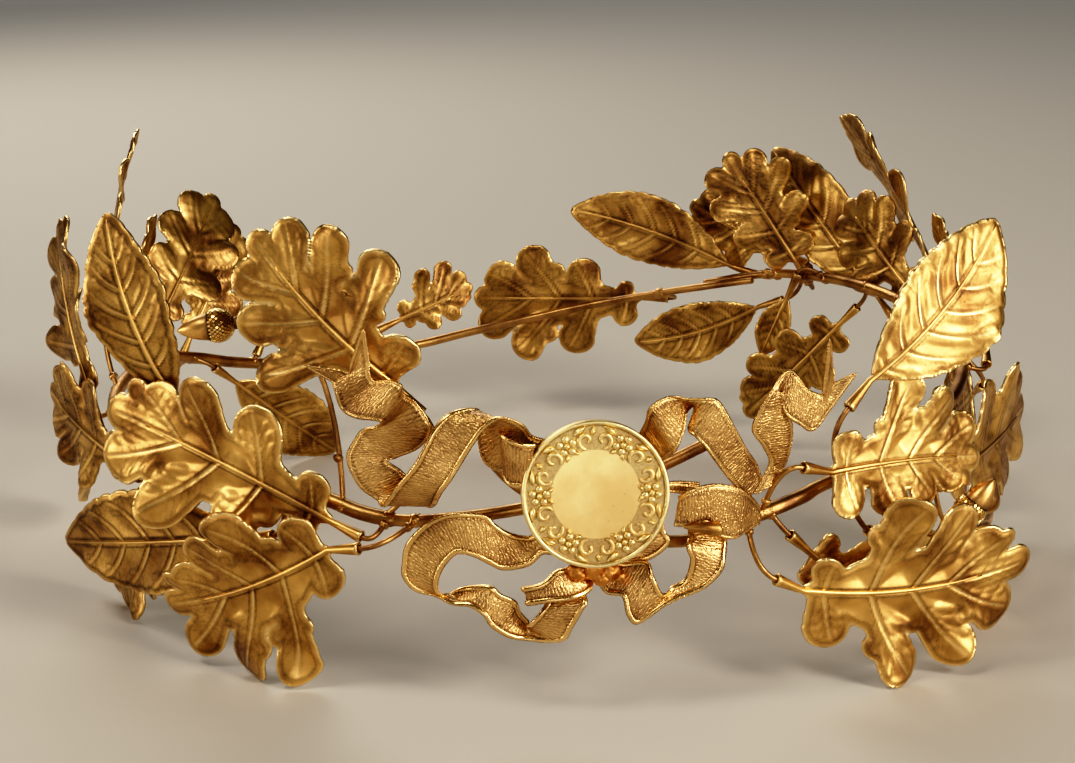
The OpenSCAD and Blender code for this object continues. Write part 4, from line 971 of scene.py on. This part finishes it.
def rolled_socket(leaf):
    """The socket and the rib, one tube with a bored mouth."""
    base, size, (ahead, aside, face) = leaf_frame(leaf)
    turned = math.radians(leaf.turned)
    x, radius = np.array(SOCKET).T
    x = np.concatenate([x, np.linspace(RIB_START, RIB_END[kind_of(leaf)], RIB_ROWS) * size])
    radius = np.concatenate([radius, np.linspace(0.60, 0.22, RIB_ROWS)])
    back = np.minimum(x, 0)
    rib = np.maximum(x, 0) / size
    swing = leaf.bend * 4 * rib * (1 - rib)
    lift = CUPPING[kind_of(leaf)][leaf.step] * swing**2 + ARCH * rib * (1 - rib)
    centre = (base + np.outer(back * math.cos(turned) + rib * size, ahead)
              + np.outer(back * math.sin(turned) + swing * size, aside) + np.outer(lift * size, face))
    turns = np.linspace(0, 2 * np.pi, SOCKET_SIDES, endpoint=False)
    lean = np.where(x < -0.5, turned, 0)[:, None, None]
    across = aside * np.cos(lean) - ahead * np.sin(lean)
    rings = centre[:, None, :] + radius[:, None, None] * (
        np.cos(turns)[None, :, None] * across + np.sin(turns)[None, :, None] * face)
    end = len(x) * SOCKET_SIDES
    faces = [f[::-1] for f in grid_faces(len(x), SOCKET_SIDES, around=True)]
    faces += [tuple(range(SOCKET_SIDES)), tuple(range(end - 1, end - SOCKET_SIDES - 1, -1))]
    hollow = np.where(x > 0, -0.12, np.where(x < -6.2, -0.3, 0.0))
    # the inside of the bore is painted dark: painted shade in the socket's mouth
    hollow[:2] = 0.7
    socket = make_mesh(leaf.name + "_socket", rings.reshape(-1, 3), faces,
                       hollow=np.repeat(hollow, SOCKET_SIDES))
    socket.data.materials.append(leaf_gilt)
    return socket


def painted_shade_for_place(spot):
    """How much painted shade a leaf gets for its place: the leaves at the back and at the left end are
    darkened with the tarnish colour.
    """
    if spot[1] > -10:
        return 0.20 if spot[0] > -40 else 0.10
    return 0.26 if spot[0] < -60 else 0.0


def stamped_leaf(leaf):
    kind, sides = kind_of(leaf), list(lobes_of(leaf))
    base, size, (ahead, aside, face) = leaf_frame(leaf)
    seed = sum(ord(c) for c in leaf.name) % 17
    rule = {OAK: oak_distance, SERRATED: serrated_distance}[kind]

    def distance(spots):
        return rule(spots, size, sides, seed)

    half = NET_HALF[kind] * size
    flat, quads = cut_net(distance, (-0.5 * size, -half), (1.35 * size, half), leaf.step)
    veins = leaf_veins(kind, size, sides, distance)
    flat = snap_to(flat, veins, distance(flat) < -0.8 * leaf.step, 0.36 * leaf.step)
    relief, hollow = leaf_relief(kind, size, flat, np.maximum(-distance(flat), 0), veins)
    x, side = flat[:, 0] / size, flat[:, 1] / size
    y = side + leaf.bend * 4 * x * (1 - x)
    wave = 0.17 * np.abs(side) ** 1.5 * np.sin(x * 15 + seed * 1.7 + 2 * np.sign(side))
    z = CUPPING[kind][leaf.step] * y**2 + ARCH * x * (1 - x) + wave
    points = base + size * (np.outer(x, ahead) + np.outer(y, aside) + np.outer(z, face))
    # the leaves at the back and at the left end get painted shade, added to their tarnish
    blade = make_mesh(leaf.name + "_sheet", points, quads.tolist(), relief=relief * MM,
                      hollow=np.minimum(hollow + painted_shade_for_place(base), MOST_HOLLOW))
    blade = grow(blade, sheet_tree, Thickness=LEAF_SHEET * MM, Metal=leaf_gilt)
    whole = join([blade, rolled_socket(leaf)], leaf.name + "_stamped")
    keep(whole, "leaves", leaf.name)


for leaf in LEAVES:
    stamped_leaf(leaf)
print("leaves:", len(LEAVES), "triangles:", sum(triangle_counts))

# %% [markdown]
# ## The stems and their wires
# Each stem is a drawn tube with a stepped collar or sleeve where two lengths meet. Every leaf and
# acorn hangs on a wire that is soldered to the stem and bends into its socket.

# %% Make the stems, the stalk wires and the solder
WIRE = 0.54
WIRE_SEAT = 2.5
# how far from the stem a wire's two lumps of solder sit, as shares, and how big they are
SEAT_LUMPS = ((0, 1.45), (0.6, 0.95))


def stem_point(rows, angle):
    return place(angle, RING_RADIUS + np.interp(angle, rows[:, 0], rows[:, 1]),
                 np.interp(angle, rows[:, 0], rows[:, 2]))


def stalk_path(root, mouth, ahead):
    """The wire's curve from the stem to the socket, and on into it."""
    pull = mouth - ahead * np.linalg.norm(mouth - root) * 0.45
    bend = pulled_curve(root, pull, mouth, np.linspace(0, 1, 14)[:, None])
    return np.vstack([bend, mouth + ahead * WIRE_SEAT])


def leaf_mouth(leaf):
    """A socket's mouth and the direction from it into the leaf."""
    base, _, (ahead, aside, _) = leaf_frame(leaf)
    turned = math.radians(leaf.turned)
    into = ahead * math.cos(turned) + aside * math.sin(turned)
    return base - into * SOCKET_LENGTH, into


def acorn_mouth(acorn):
    foot = place(*acorn.foot)
    return foot, unit(place(*acorn.toward) - foot)


lump_tree, given = new_tree("solder_lumps", Seed=3)
lump = add(lump_tree, "GeometryNodeMeshIcoSphere", {"Radius": 1.0, "Subdivisions": 4})
uneven = add(lump_tree, "ShaderNodeTexNoise", {"Scale": 1.3, "Detail": 2.0})
swell = add(lump_tree, "ShaderNodeMath", {0: uneven, 1: 0.7, 2: -0.35}, operation="MULTIPLY_ADD")
normal = add(lump_tree, "GeometryNodeInputNormal")
swell = add(lump_tree, "ShaderNodeVectorMath", {0: normal, "Scale": swell}, operation="SCALE")
lump = add(lump_tree, "GeometryNodeSetPosition", {"Geometry": lump, "Offset": swell})
lump_size = add(lump_tree, "GeometryNodeInputNamedAttribute", {"Name": "thick"})
spin = add(lump_tree, "FunctionNodeRandomValue", {"Seed": given["Seed"], "Max": (6.0, 6.0, 6.0)},
           data_type="FLOAT_VECTOR")
lumps = add(lump_tree, "GeometryNodeInstanceOnPoints", {
    "Points": given["Geometry"], "Instance": lump, "Rotation": spin, "Scale": lump_size})
end_tree(lump_tree, lumps, given)


def branch(node):
    rows = np.array(sorted(STEMS[node]))
    smooth = smooth_rows(rows, 6)
    # the diameter doesn't follow the curve, so a collar keeps its step
    angles = [np.linspace(a, b, 6, endpoint=False) for a, b in zip(rows[:-1, 0], rows[1:, 0])]
    wide = np.interp(np.concatenate(angles + [rows[-1:, 0]]), rows[:, 0], rows[:, 3])
    paths = [([place(a, RING_RADIUS + offset, height) for a, offset, height in smooth[:, :3]], wide / 2)]
    lumps, thick = [], []
    for row, (mouth, ahead) in [(leaf, leaf_mouth(leaf)) for leaf in LEAVES] + [
            (acorn, acorn_mouth(acorn)) for acorn in ACORNS]:
        if row.stem != node:
            continue
        root = stem_point(rows, row.root)
        wire = stalk_path(root, mouth, ahead)
        paths.append((wire, np.full(len(wire), WIRE)))
        lumps += [root + (wire[3] - root) * share for share, _ in SEAT_LUMPS]
        thick += [wide for _, wide in SEAT_LUMPS]
    metal = round_metal(node + "_tubes", paths, tube_gilt)
    lumps = make_mesh(node + "_solder", lumps, [], thick=np.array(thick) * MM)
    lumps = grow(lumps, lump_tree, Seed=3, Metal=tube_gilt)
    whole = join([metal, lumps], node + "_drawn")
    keep(whole, "tubes", node)
    print(node, "wires:", len(paths) - 1, "triangles:", triangles(whole))


branch(LEFT)
branch(RIGHT)

# %% [markdown]
# ## The ribbon
# The bow is one engraved strip, folded and soldered. Its two edges are the table's rows, made
# smooth. Fine wavy lines cross it, the metal between is crinkled like crepe, and each edge is
# rolled to a bright bead. The crinkle and the bead follow the surface, so a node tree works them
# out for every point and then hands the strip to the sheet tree.

# %% Build the tree for the engraved strip
RIBBON_SHEET = 0.5
ribbon_tree, given = new_tree("engraved_strip", Spacing=LINES_MM, Depth=0.03 * MM, Crinkle=0.20 * MM,
                              Bead=0.26 * MM, Thickness=RIBBON_SHEET * MM)
run, edge = (add(ribbon_tree, "GeometryNodeInputNamedAttribute", {"Name": name})
             for name in ("run", "edge"))
crinkle = add(ribbon_tree, "ShaderNodeTexNoise", {"Scale": 1 / (1.2 * MM), "Detail": 2.0})
crinkle = add(ribbon_tree, "ShaderNodeMath", {0: crinkle, 1: 0.5}, operation="SUBTRACT")
phase = add(ribbon_tree, "ShaderNodeMath", {0: run, 1: given["Spacing"]}, operation="DIVIDE")
phase = add(ribbon_tree, "ShaderNodeMath", {0: crinkle, 1: 3.2, 2: phase}, operation="MULTIPLY_ADD")
phase = add(ribbon_tree, "ShaderNodeMath", {0: phase, 1: math.tau}, operation="MULTIPLY")
lines = add(ribbon_tree, "ShaderNodeMath", {0: phase}, operation="SINE")
# the strip's field, and the bead's inner and outer slope, by the distance from the edge in mm
SLOPES = ((0.7, 1.2, 0), (0.6, 0.22, 0), (0, 0.14, 0.45))
field, inward, outward = (
    add(ribbon_tree, "ShaderNodeMapRange", {
        "Value": edge, "From Min": low, "From Max": high, "To Min": lowest},
        interpolation_type="SMOOTHSTEP")
    for low, high, lowest in SLOPES)
bead = add(ribbon_tree, "ShaderNodeMath", {0: inward, 1: outward}, operation="MULTIPLY")
crinkle = add(ribbon_tree, "ShaderNodeMath", {0: crinkle, 1: field}, operation="MULTIPLY")
lift = add(ribbon_tree, "ShaderNodeMath", {0: lines, 1: given["Depth"]}, operation="MULTIPLY")
lift = add(ribbon_tree, "ShaderNodeMath", {0: lift, 1: field}, operation="MULTIPLY")
beside = add(ribbon_tree, "ShaderNodeMath", {0: edge, 1: 0.7, 2: 0.3}, operation="COMPARE")
hollow = 0.06
for form, high, deep in ((lines, None, -0.08), (crinkle, given["Crinkle"], -0.6),
                         (bead, given["Bead"], -0.45), (beside, None, 0.25)):
    hollow = add(ribbon_tree, "ShaderNodeMath", {0: form, 1: deep, 2: hollow}, operation="MULTIPLY_ADD")
    if high:
        lift = add(ribbon_tree, "ShaderNodeMath", {0: form, 1: high, 2: lift}, operation="MULTIPLY_ADD")
strip = given["Geometry"]
for name, value in (("relief", lift), ("hollow", hollow)):
    strip = add(ribbon_tree, "GeometryNodeStoreNamedAttribute", {
        "Geometry": strip, "Name": name, "Value": value})
strip = add(ribbon_tree, "GeometryNodeGroup", {
    "Geometry": strip, "Thickness": given["Thickness"], "Metal": given["Metal"]}, node_tree=sheet_tree)
end_tree(ribbon_tree, strip, given)

# %% Make the ribbon's bands
EDGE_STEPS = np.array([0, 0.12, 0.24, 0.38, 0.52, 0.7, 0.95])
ROW_STEP = 0.2
FORK_ROWS, FORK_RUN = 30, 8
FULL_EDGES = 3.4
# The left tail starts with an open curl beside the medallion, which the CAD model leaves out
CURL = [
    (-96.3, 102.6, 54.5, -96.8, 102.0, 47.0), (-97.6, 103.6, 54.8, -97.8, 102.6, 46.5),
    (-99.2, 103.0, 55.8, -98.8, 102.0, 46.5), (-99.8, 101.4, 56.5, -99.4, 100.8, 47.5),
    (-99.3, 99.9, 56.6, -99.2, 99.7, 49.0), (-98.2, 99.3, 55.6, -98.2, 99.0, 50.0),
    (-97.2, 99.6, 54.4, -97.2, 99.2, 50.5)]
# The knot's lower edge is rolled into a small horn, which it leaves out too: angle, radius and
# height, then its own radius
HORN = [
    (-80.7, 103.2, 37.5, 0.25), (-79.6, 103.6, 37.3, 0.75), (-78.5, 103.9, 37.1, 1.15),
    (-77.5, 104.0, 36.8, 1.40), (-77.0, 104.0, 36.7, 1.35), (-76.8, 104.0, 36.7, 1.00)]


def across_steps(wide):
    """Where a row's points lie across the strip, as shares: close together at the rolled edges."""
    near = EDGE_STEPS * min(1, wide / FULL_EDGES)
    left = np.concatenate([near, np.linspace(near[-1], wide / 2, 8)[1:]])
    return np.concatenate([left, wide - left[-2::-1]]) / wide


def ribbon_band(name, rows, tail=()):
    """One band between its two edges, with a swallowtail cut into its end if it has one."""
    edges = np.array([np.concatenate([place(*row[:3]), place(*row[3:])]) for row in rows])
    fine = smooth_rows(edges, 12)
    middle = (fine[:, :3] + fine[:, 3:]) / 2
    travel = np.concatenate([[0], np.cumsum(np.linalg.norm(np.diff(middle, axis=0), axis=1))])
    run = np.linspace(0, travel[-1], int(travel[-1] / ROW_STEP) + 2)
    fine = np.array([np.interp(run, travel, fine[:, k]) for k in range(6)]).T
    wide = np.linalg.norm(fine[:, 3:] - fine[:, :3], axis=1)
    share = np.array([across_steps(w) for w in wide])
    points = fine[:, None, :3] * (1 - share[:, :, None]) + fine[:, None, 3:] * share[:, :, None]
    if tail:
        left, right, notch = (place(*p) for p in tail)
        u = np.linspace(0, 1, FORK_ROWS)[1:, None, None]
        side = 2 * share[-1][None, :, None] - 1
        forked = np.where(side < 0, left, right) * np.abs(side) + notch * (1 - np.abs(side))
        points = np.concatenate([points, points[-1][None] * (1 - u) + forked * u])
        run = np.concatenate([run, travel[-1] + np.linspace(0, FORK_RUN, FORK_ROWS)[1:]])
        wide = np.concatenate([wide, np.full(FORK_ROWS - 1, wide[-1])])
        share = np.concatenate([share, np.repeat(share[-1:], FORK_ROWS - 1, axis=0)])
    count, columns = share.shape
    edge = np.minimum(share, 1 - share) * wide[:, None]
    if tail:
        edge = np.minimum(edge, (run[-1] - run)[:, None])
    faces = [f[::-1] for f in grid_faces(count, columns)]
    band = make_mesh(name + "_strip", points.reshape(-1, 3), faces,
                     run=np.repeat(run, columns), edge=edge.ravel(),
                     aside=((share - 0.5) * wide[:, None]).ravel())
    print(name, "length:", round(float(travel[-1]), 1), "mm")
    return grow(band, ribbon_tree, Thickness=RIBBON_SHEET * MM, Metal=ribbon_gilt)


for name, (rows, tail) in RIBBONS.items():
    bands = [ribbon_band(name, rows, tail)]
    if name == "ribbon_tail_left":
        bands.append(ribbon_band("curl", CURL))
    if name == "ribbon_knot":
        horn = smooth_rows(HORN, 4)
        bands.append(round_metal("horn", [([place(*row[:3]) for row in horn], horn[:, 3])], leaf_gilt))
    keep(join(bands, name + "_engraved"), "ribbon", name)

# %% [markdown]
# ## The medallion
# A cast disc, turned on its edge and chased on its face. A thin rim stands round a border of
# scrolls, leaves and flowers, and the middle is plain. The border repeats, so a tree sets one
# worked motif on the points of a circle.

# %% Turn the disc and its boss
MEDAL_DIA, MEDAL_THICK, MEDAL_RIM = 27.6, 1.6, 0.9
MEDAL_HEIGHT, MEDAL_REACH, MEDAL_BACK, MEDAL_LEAN = 44.5, 101.2, 2.4, 10
MEDAL_CENTRE, CENTRE_RISE = 9.0, 0.10
BOSS_RADIUS, BOSS_TOP, BOSS_DROP = 2.25, 0.5, 5.5
POLE = 0.01
weld_tree, given = new_tree("weld", Distance=0.002 * MM)
welded = add(weld_tree, "GeometryNodeMergeByDistance", {
    "Geometry": given["Geometry"], "Distance": given["Distance"]})
end_tree(weld_tree, welded, given)


def lathe(name, profile, sides, metal, hollow=0.0):
    """A turned solid from (radius, height) pairs that go from the axis at its foot to its top."""
    profile = np.array(profile, float)
    turns = np.linspace(0, math.tau, sides, endpoint=False)
    rings = np.stack([profile[:, 0][:, None] * np.cos(turns), profile[:, 0][:, None] * np.sin(turns),
                      np.repeat(profile[:, 1][:, None], sides, 1)], -1)
    hollow = np.broadcast_to(hollow, len(profile))
    obj = make_mesh(name, rings.reshape(-1, 3), grid_faces(len(profile), sides, around=True),
                    hollow=np.repeat(hollow, sides))
    return grow(obj, weld_tree, Metal=metal)


def soft_corners(profile, reach=0.18, steps=4):
    """Rounds the corners of a profile."""
    profile = np.array(profile, float)
    done = [profile[0]]
    for a, b, c in zip(profile[:-2], profile[1:-1], profile[2:]):
        first = b + unit(a - b) * min(reach, np.linalg.norm(a - b) / 2.1)
        last = b + unit(c - b) * min(reach, np.linalg.norm(c - b) / 2.1)
        done += [pulled_curve(first, b, last, t) for t in np.linspace(0, 1, steps)]
    return np.array(done + [profile[-1]])


radius = MEDAL_DIA / 2
rim_wall = radius - MEDAL_RIM
bead = MEDAL_RIM / 2
edge_line = soft_corners([(POLE, 0), (radius - 0.25, 0), (radius, 0.25), (radius, MEDAL_THICK)])
rim_arc = [(radius - bead + bead * math.cos(a), MEDAL_THICK + bead * math.sin(a))
           for a in np.linspace(0, math.pi, 12)]
face_line = [(r, MEDAL_THICK + max(CENTRE_RISE * (1 - (r / MEDAL_CENTRE) ** 2), 0))
             for r in np.linspace(rim_wall - 0.25, 0, 60)]
profile = np.vstack([[(0, 0)], edge_line, rim_arc, face_line])
out, up = profile.T
hollow = np.clip(0.75 - 1.4 * np.abs(out - (rim_wall - 0.15)), 0, 1)
hollow = np.where(up < 0.5, 0.3, hollow)
# the border's field between the ornaments is darker: some tarnish, and painted shade that makes the border
# look deeper
hollow = np.where((out > 8.2) & (out < rim_wall), np.maximum(hollow, 0.50), hollow)
hollow = np.where(up > MEDAL_THICK + 0.2, -0.35, hollow)
disc = lathe("disc", profile, 160, medal_gilt, hollow)

boss_line = soft_corners([(POLE, -MEDAL_BACK), (BOSS_RADIUS, -MEDAL_BACK), (BOSS_RADIUS, BOSS_TOP),
                          (POLE, BOSS_TOP)], 0.4)
boss = lathe("boss", np.vstack([[(0, -MEDAL_BACK)], boss_line, [(0, BOSS_TOP)]]), 40, medal_gilt)
boss.data.transform(Matrix.Translation((0, -BOSS_DROP * MM, 0)))

# %% [markdown]
# One motif is a pair of scrolls with small leaves between two flowers. Scrolls are tapered wire
# half sunk in the face; petals and leaves are small domes. Raised tops are worn bright.

# %% Make the border's motif and set it round the disc
MOTIFS, MOTIF_SCALE, MOTIF_AT = 6, 1.10, 0.748
SUNK = 0.05
LEAFLET_ROWS, LEAFLET_COLUMNS = 9, 7
PETAL_SIDES = 12


def leaflet(at, turn, long, wide, high, curve=0.0):
    """A small domed leaf with a middle rib: its points in mm, and its quads."""
    t = np.linspace(0, 1, LEAFLET_ROWS)
    s = np.linspace(-1, 1, LEAFLET_COLUMNS)
    oval = np.sin(np.pi * t**0.8)
    x = np.repeat(t * long, LEAFLET_COLUMNS)
    y = np.outer(wide / 2 * oval ** 0.8, s).ravel() + curve * np.repeat(t**2, LEAFLET_COLUMNS)
    rib = np.exp(-((np.tile(s, LEAFLET_ROWS) / 0.2) ** 2))
    z = np.outer(oval ** 0.5, 1 - s**2).ravel() * high + 0.35 * high * rib
    c, d = heading(turn)
    points = np.stack([at[0] + x * c - y * d, at[1] + x * d + y * c, z - SUNK], -1)
    return points, [f[::-1] for f in grid_faces(LEAFLET_ROWS, LEAFLET_COLUMNS, around=True)]


def petal_flower(at, petals, out, size, high):
    """Round domed petals about a bud."""
    parts = []
    turns = np.linspace(0, math.tau, PETAL_SIDES, endpoint=False)
    for k in range(petals + 1):
        a = math.tau * k / petals
        r, middle, tall = (size * 0.42, 0, high * 1.5) if k == petals else (size / 2, out, high)
        dome = [(0, 0)] + [(q, tall * math.sqrt(1 - q * q)) for q in (1, 0.85, 0.6, 0.3, 0)]
        rings = [(at[0] + middle * math.cos(a) + r * q * math.cos(b),
                  at[1] + middle * math.sin(a) + r * q * math.sin(b), z - SUNK)
                 for q, z in dome for b in turns]
        parts.append((np.array(rings), grid_faces(len(dome), PETAL_SIDES, around=True)))
    return parts


def spiral(at, start, sweep, r0, r1, flip=1):
    """A scroll's line, curling in from radius r0 to r1, and its thickness."""
    t = np.linspace(0, 1, 26)
    a = start + flip * sweep * t
    r = r0 + (r1 - r0) * t
    line = np.stack([at[0] + r * np.cos(a), at[1] + r * np.sin(a), 0.10 + 0 * t], -1)
    return line, 0.24 + 0.22 * np.sin(np.pi * t**0.7)


def merge_parts(name, parts, hollow):
    points, faces = [], []
    for part_points, part_faces in parts:
        faces += [tuple(i + len(points) for i in f) for f in part_faces]
        points += list(part_points)
    obj = make_mesh(name, points, faces, hollow=np.full(len(points), hollow))
    return grow(obj, weld_tree, Metal=medal_gilt)


# a flower, one leaf beside it, and on each side two leaves and a scroll
solids = petal_flower((0, 0.1), 5, 1.20, 1.40, 0.62)
solids.append(leaflet((4.75, -0.55), math.pi / 2 - 0.49, 1.4, 1.2, 0.55))
scrolls = []
for side in (-1, 1):
    solids.append(leaflet((side * 1.75, 0.95), math.pi / 2 - side * 1.25, 2.7, 1.35, 0.58, side * -0.5))
    solids.append(leaflet((side * 0.55, -1.2), -math.pi / 2 + side * 0.5, 1.4, 0.95, 0.50, side * 0.2))
    scrolls.append(spiral((side * 3.2, -0.75), math.pi / 2 + side * 2.6, 5.6, 1.45, 0.45, -side))
motif = join([merge_parts("leaves_part", solids, -0.30),
              round_metal("scroll_part", scrolls, medal_gilt, sides=10)], "border")
motif.data.transform(Matrix.Scale(MOTIF_SCALE, 4))

border_tree, given = new_tree("border", Count=MOTIFS, Radius=radius * MOTIF_AT * MM)
ring = add(border_tree, "GeometryNodeCurvePrimitiveCircle", {
    "Resolution": given["Count"], "Radius": given["Radius"]})
spots = add(border_tree, "GeometryNodeCurveToPoints", {"Curve": ring}, mode="EVALUATED")
index = add(border_tree, "GeometryNodeInputIndex")
step = add(border_tree, "ShaderNodeMath", {0: math.tau, 1: given["Count"]}, operation="DIVIDE")
angle = add(border_tree, "ShaderNodeMath", {0: index, 1: step, 2: -math.pi / 2}, operation="MULTIPLY_ADD")
turn = add(border_tree, "ShaderNodeCombineXYZ", {"Z": angle})
border = add(border_tree, "GeometryNodeInstanceOnPoints", {
    "Points": spots, "Instance": given["Geometry"], "Rotation": turn})
end_tree(border_tree, border, given)
border = grow(motif, border_tree, Count=MOTIFS, Radius=radius * MOTIF_AT * MM, Metal=medal_gilt)
border.data.transform(Matrix.Translation((0, 0, MEDAL_THICK * MM)))

# %% Join the medallion and solder it on
medal = join([disc, boss, border], "medallion_cast")
medal.data.transform(Matrix.Translation(Vector(place(-90, MEDAL_REACH, MEDAL_HEIGHT) * MM))
                     @ Matrix.Rotation(math.radians(90 - MEDAL_LEAN), 4, "X"))
# a lump's row: angle, how far out and how far up from the disc's lowest point, radius
SOLDER_LUMPS = [(-90.2, 0.8, -0.6, 2.4), (-91.8, 0.9, -1.0, 1.9), (-88.6, 0.9, -1.0, 2.0),
                (-89.4, 1.3, -2.2, 1.7), (-87.4, 1.2, -2.4, 1.2)]
lump_spots = [place(angle, MEDAL_REACH + out_by, MEDAL_HEIGHT - radius + up_by)
              for angle, out_by, up_by, _ in SOLDER_LUMPS]
foot = make_mesh("medal_solder", lump_spots, [], thick=np.array([lump[3] for lump in SOLDER_LUMPS]) * MM)
foot = grow(foot, lump_tree, Seed=5, Metal=solder)
medal = join([medal, foot], "medallion_cast")
keep(medal, "medallion", "medallion")
print("medallion triangles:", triangles(medal))

# %% [markdown]
# ## The acorns
# A small cast cup with scales in a diamond lattice, and a smooth pointed nut. The cup starts as a
# mesh of diamonds, and a tree pushes each out and makes it smaller, which leaves the grooves.

# %% Build the tree for the scales
scale_tree, given = new_tree("cup_scales", Height=0.24 * MM, Share=0.74)
scales = add(scale_tree, "GeometryNodeExtrudeMesh", {
    "Mesh": given["Geometry"], "Offset Scale": given["Height"], "Individual": True}, mode="FACES")
tops = scales.node.outputs["Top"]
scales = add(scale_tree, "GeometryNodeScaleElements", {
    "Geometry": scales, "Selection": tops, "Scale": given["Share"]})
scales = add(scale_tree, "GeometryNodeStoreNamedAttribute", {
    "Geometry": scales, "Selection": tops, "Name": "hollow", "Value": -0.60})
end_tree(scale_tree, scales, given, smooth=False)

# %% Make the acorns
CUP_DIA, ACORN_LENGTH, CUP_FOOT, BRIM = 6.8, 12.4, 1.2, 1.9
SCALE_ROWS, SCALES_ROUND, SCALE_SPACE = 13, 24, 0.28
SCALES_FROM = -1.25
TURNED_SIDES = 48
cup = CUP_DIA / 2 - SCALE_SPACE
middle = CUP_FOOT + cup + SCALE_SPACE
nut = CUP_DIA / 2 * 0.74
brim_rise = math.asin(BRIM / (cup + SCALE_SPACE))


def acorn_nut(name):
    up = np.linspace(0, 1, 34)
    egg = nut * 1.06 * (1 - up**2.3) ** 0.8
    point = 0.42 * np.clip((1 - up) / 0.12, 0, 1) ** 0.7
    line = np.stack([np.maximum(egg, point), middle + (ACORN_LENGTH - middle) * up], -1)
    line[-1, 0] = 0
    line = np.vstack([[(0, middle - 1.2), (nut * 0.9, middle - 1.2)], line])
    # the nut is darker low down, in the cup and just above its brim, and paler towards its tip
    hollow = np.clip(0.75 - 0.4 * (line[:, 1] - middle - 1.6), 0.15, 0.75)
    return lathe(name + "_nut", line, TURNED_SIDES, acorn_gilt, hollow)


def acorn_bowl(name):
    brim = middle + BRIM
    inner = [(0, 3.9), (0.8, 3.9), (0.8, 0),
             (CUP_FOOT * 0.95, 0), (CUP_FOOT, 0.25), (CUP_FOOT, CUP_FOOT)]
    bowl = [(cup * math.cos(a), middle + cup * math.sin(a)) for a in np.linspace(-1.2, brim_rise, 20)]
    lip = [(math.sqrt((cup + SCALE_SPACE) ** 2 - BRIM**2) + 0.05, brim - 0.12), (nut + 0.2, brim),
           (nut * 0.98, brim - 0.35), (0, brim - 0.35)]
    return lathe(name + "_cup", inner + bowl + lip, TURNED_SIDES, acorn_gilt, 0.75)


def acorn_scales(name):
    """Diamonds round the bowl, each pushed out and made smaller, with closed ends."""
    points, faces = [], []
    for r in range(SCALE_ROWS):
        a = SCALES_FROM + (brim_rise - SCALES_FROM) * r / (SCALE_ROWS - 1)
        for k in range(SCALES_ROUND):
            c, s = heading(math.tau * (k + 0.5 * (r % 2)) / SCALES_ROUND)
            points.append((cup * math.cos(a) * c, cup * math.cos(a) * s, middle + cup * math.sin(a)))
    for r in range(SCALE_ROWS - 2):
        here, above, top = (n * SCALES_ROUND for n in (r, r + 1, r + 2))
        for k in range(SCALES_ROUND):
            side = k + r % 2
            faces.append((here + k, above + side % SCALES_ROUND,
                          top + k, above + (side - 1) % SCALES_ROUND))
    scales = make_mesh(name + "_scales", points, faces, hollow=np.full(len(points), 0.55))
    scales = grow(scales, scale_tree, Metal=acorn_gilt)
    closed = bmesh.new()
    closed.from_mesh(scales.data)
    bmesh.ops.holes_fill(closed, edges=closed.edges, sides=0)
    closed.to_mesh(scales.data)
    closed.free()
    return scales


for acorn in ACORNS:
    parts = [shape(acorn.name) for shape in (acorn_nut, acorn_scales, acorn_bowl)]
    whole = join(parts, acorn.name + "_cast")
    foot, ahead = acorn_mouth(acorn)
    lean = Vector(ahead).to_track_quat("Z", "Y").to_matrix().to_4x4()
    whole.data.transform(Matrix.Translation(Vector(foot * MM)) @ lean)
    keep(whole, "acorns", acorn.name)
    print(acorn.name, "triangles:", triangles(whole))

# %% [markdown]
# ## The size
# The box of the finished pieces is compared with the CAD's.

# %% Compare the boxes and finish
final_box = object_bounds()
print("triangles in all:", sum(triangle_counts))
for axis in range(3):
    low, high = ((final_box[k][axis] - cad_box[k][axis]) / MM for k in (0, 1))
    print("XYZ"[axis], "low side moved by", round(low, 3), "mm, high side by", round(high, 3), "mm")
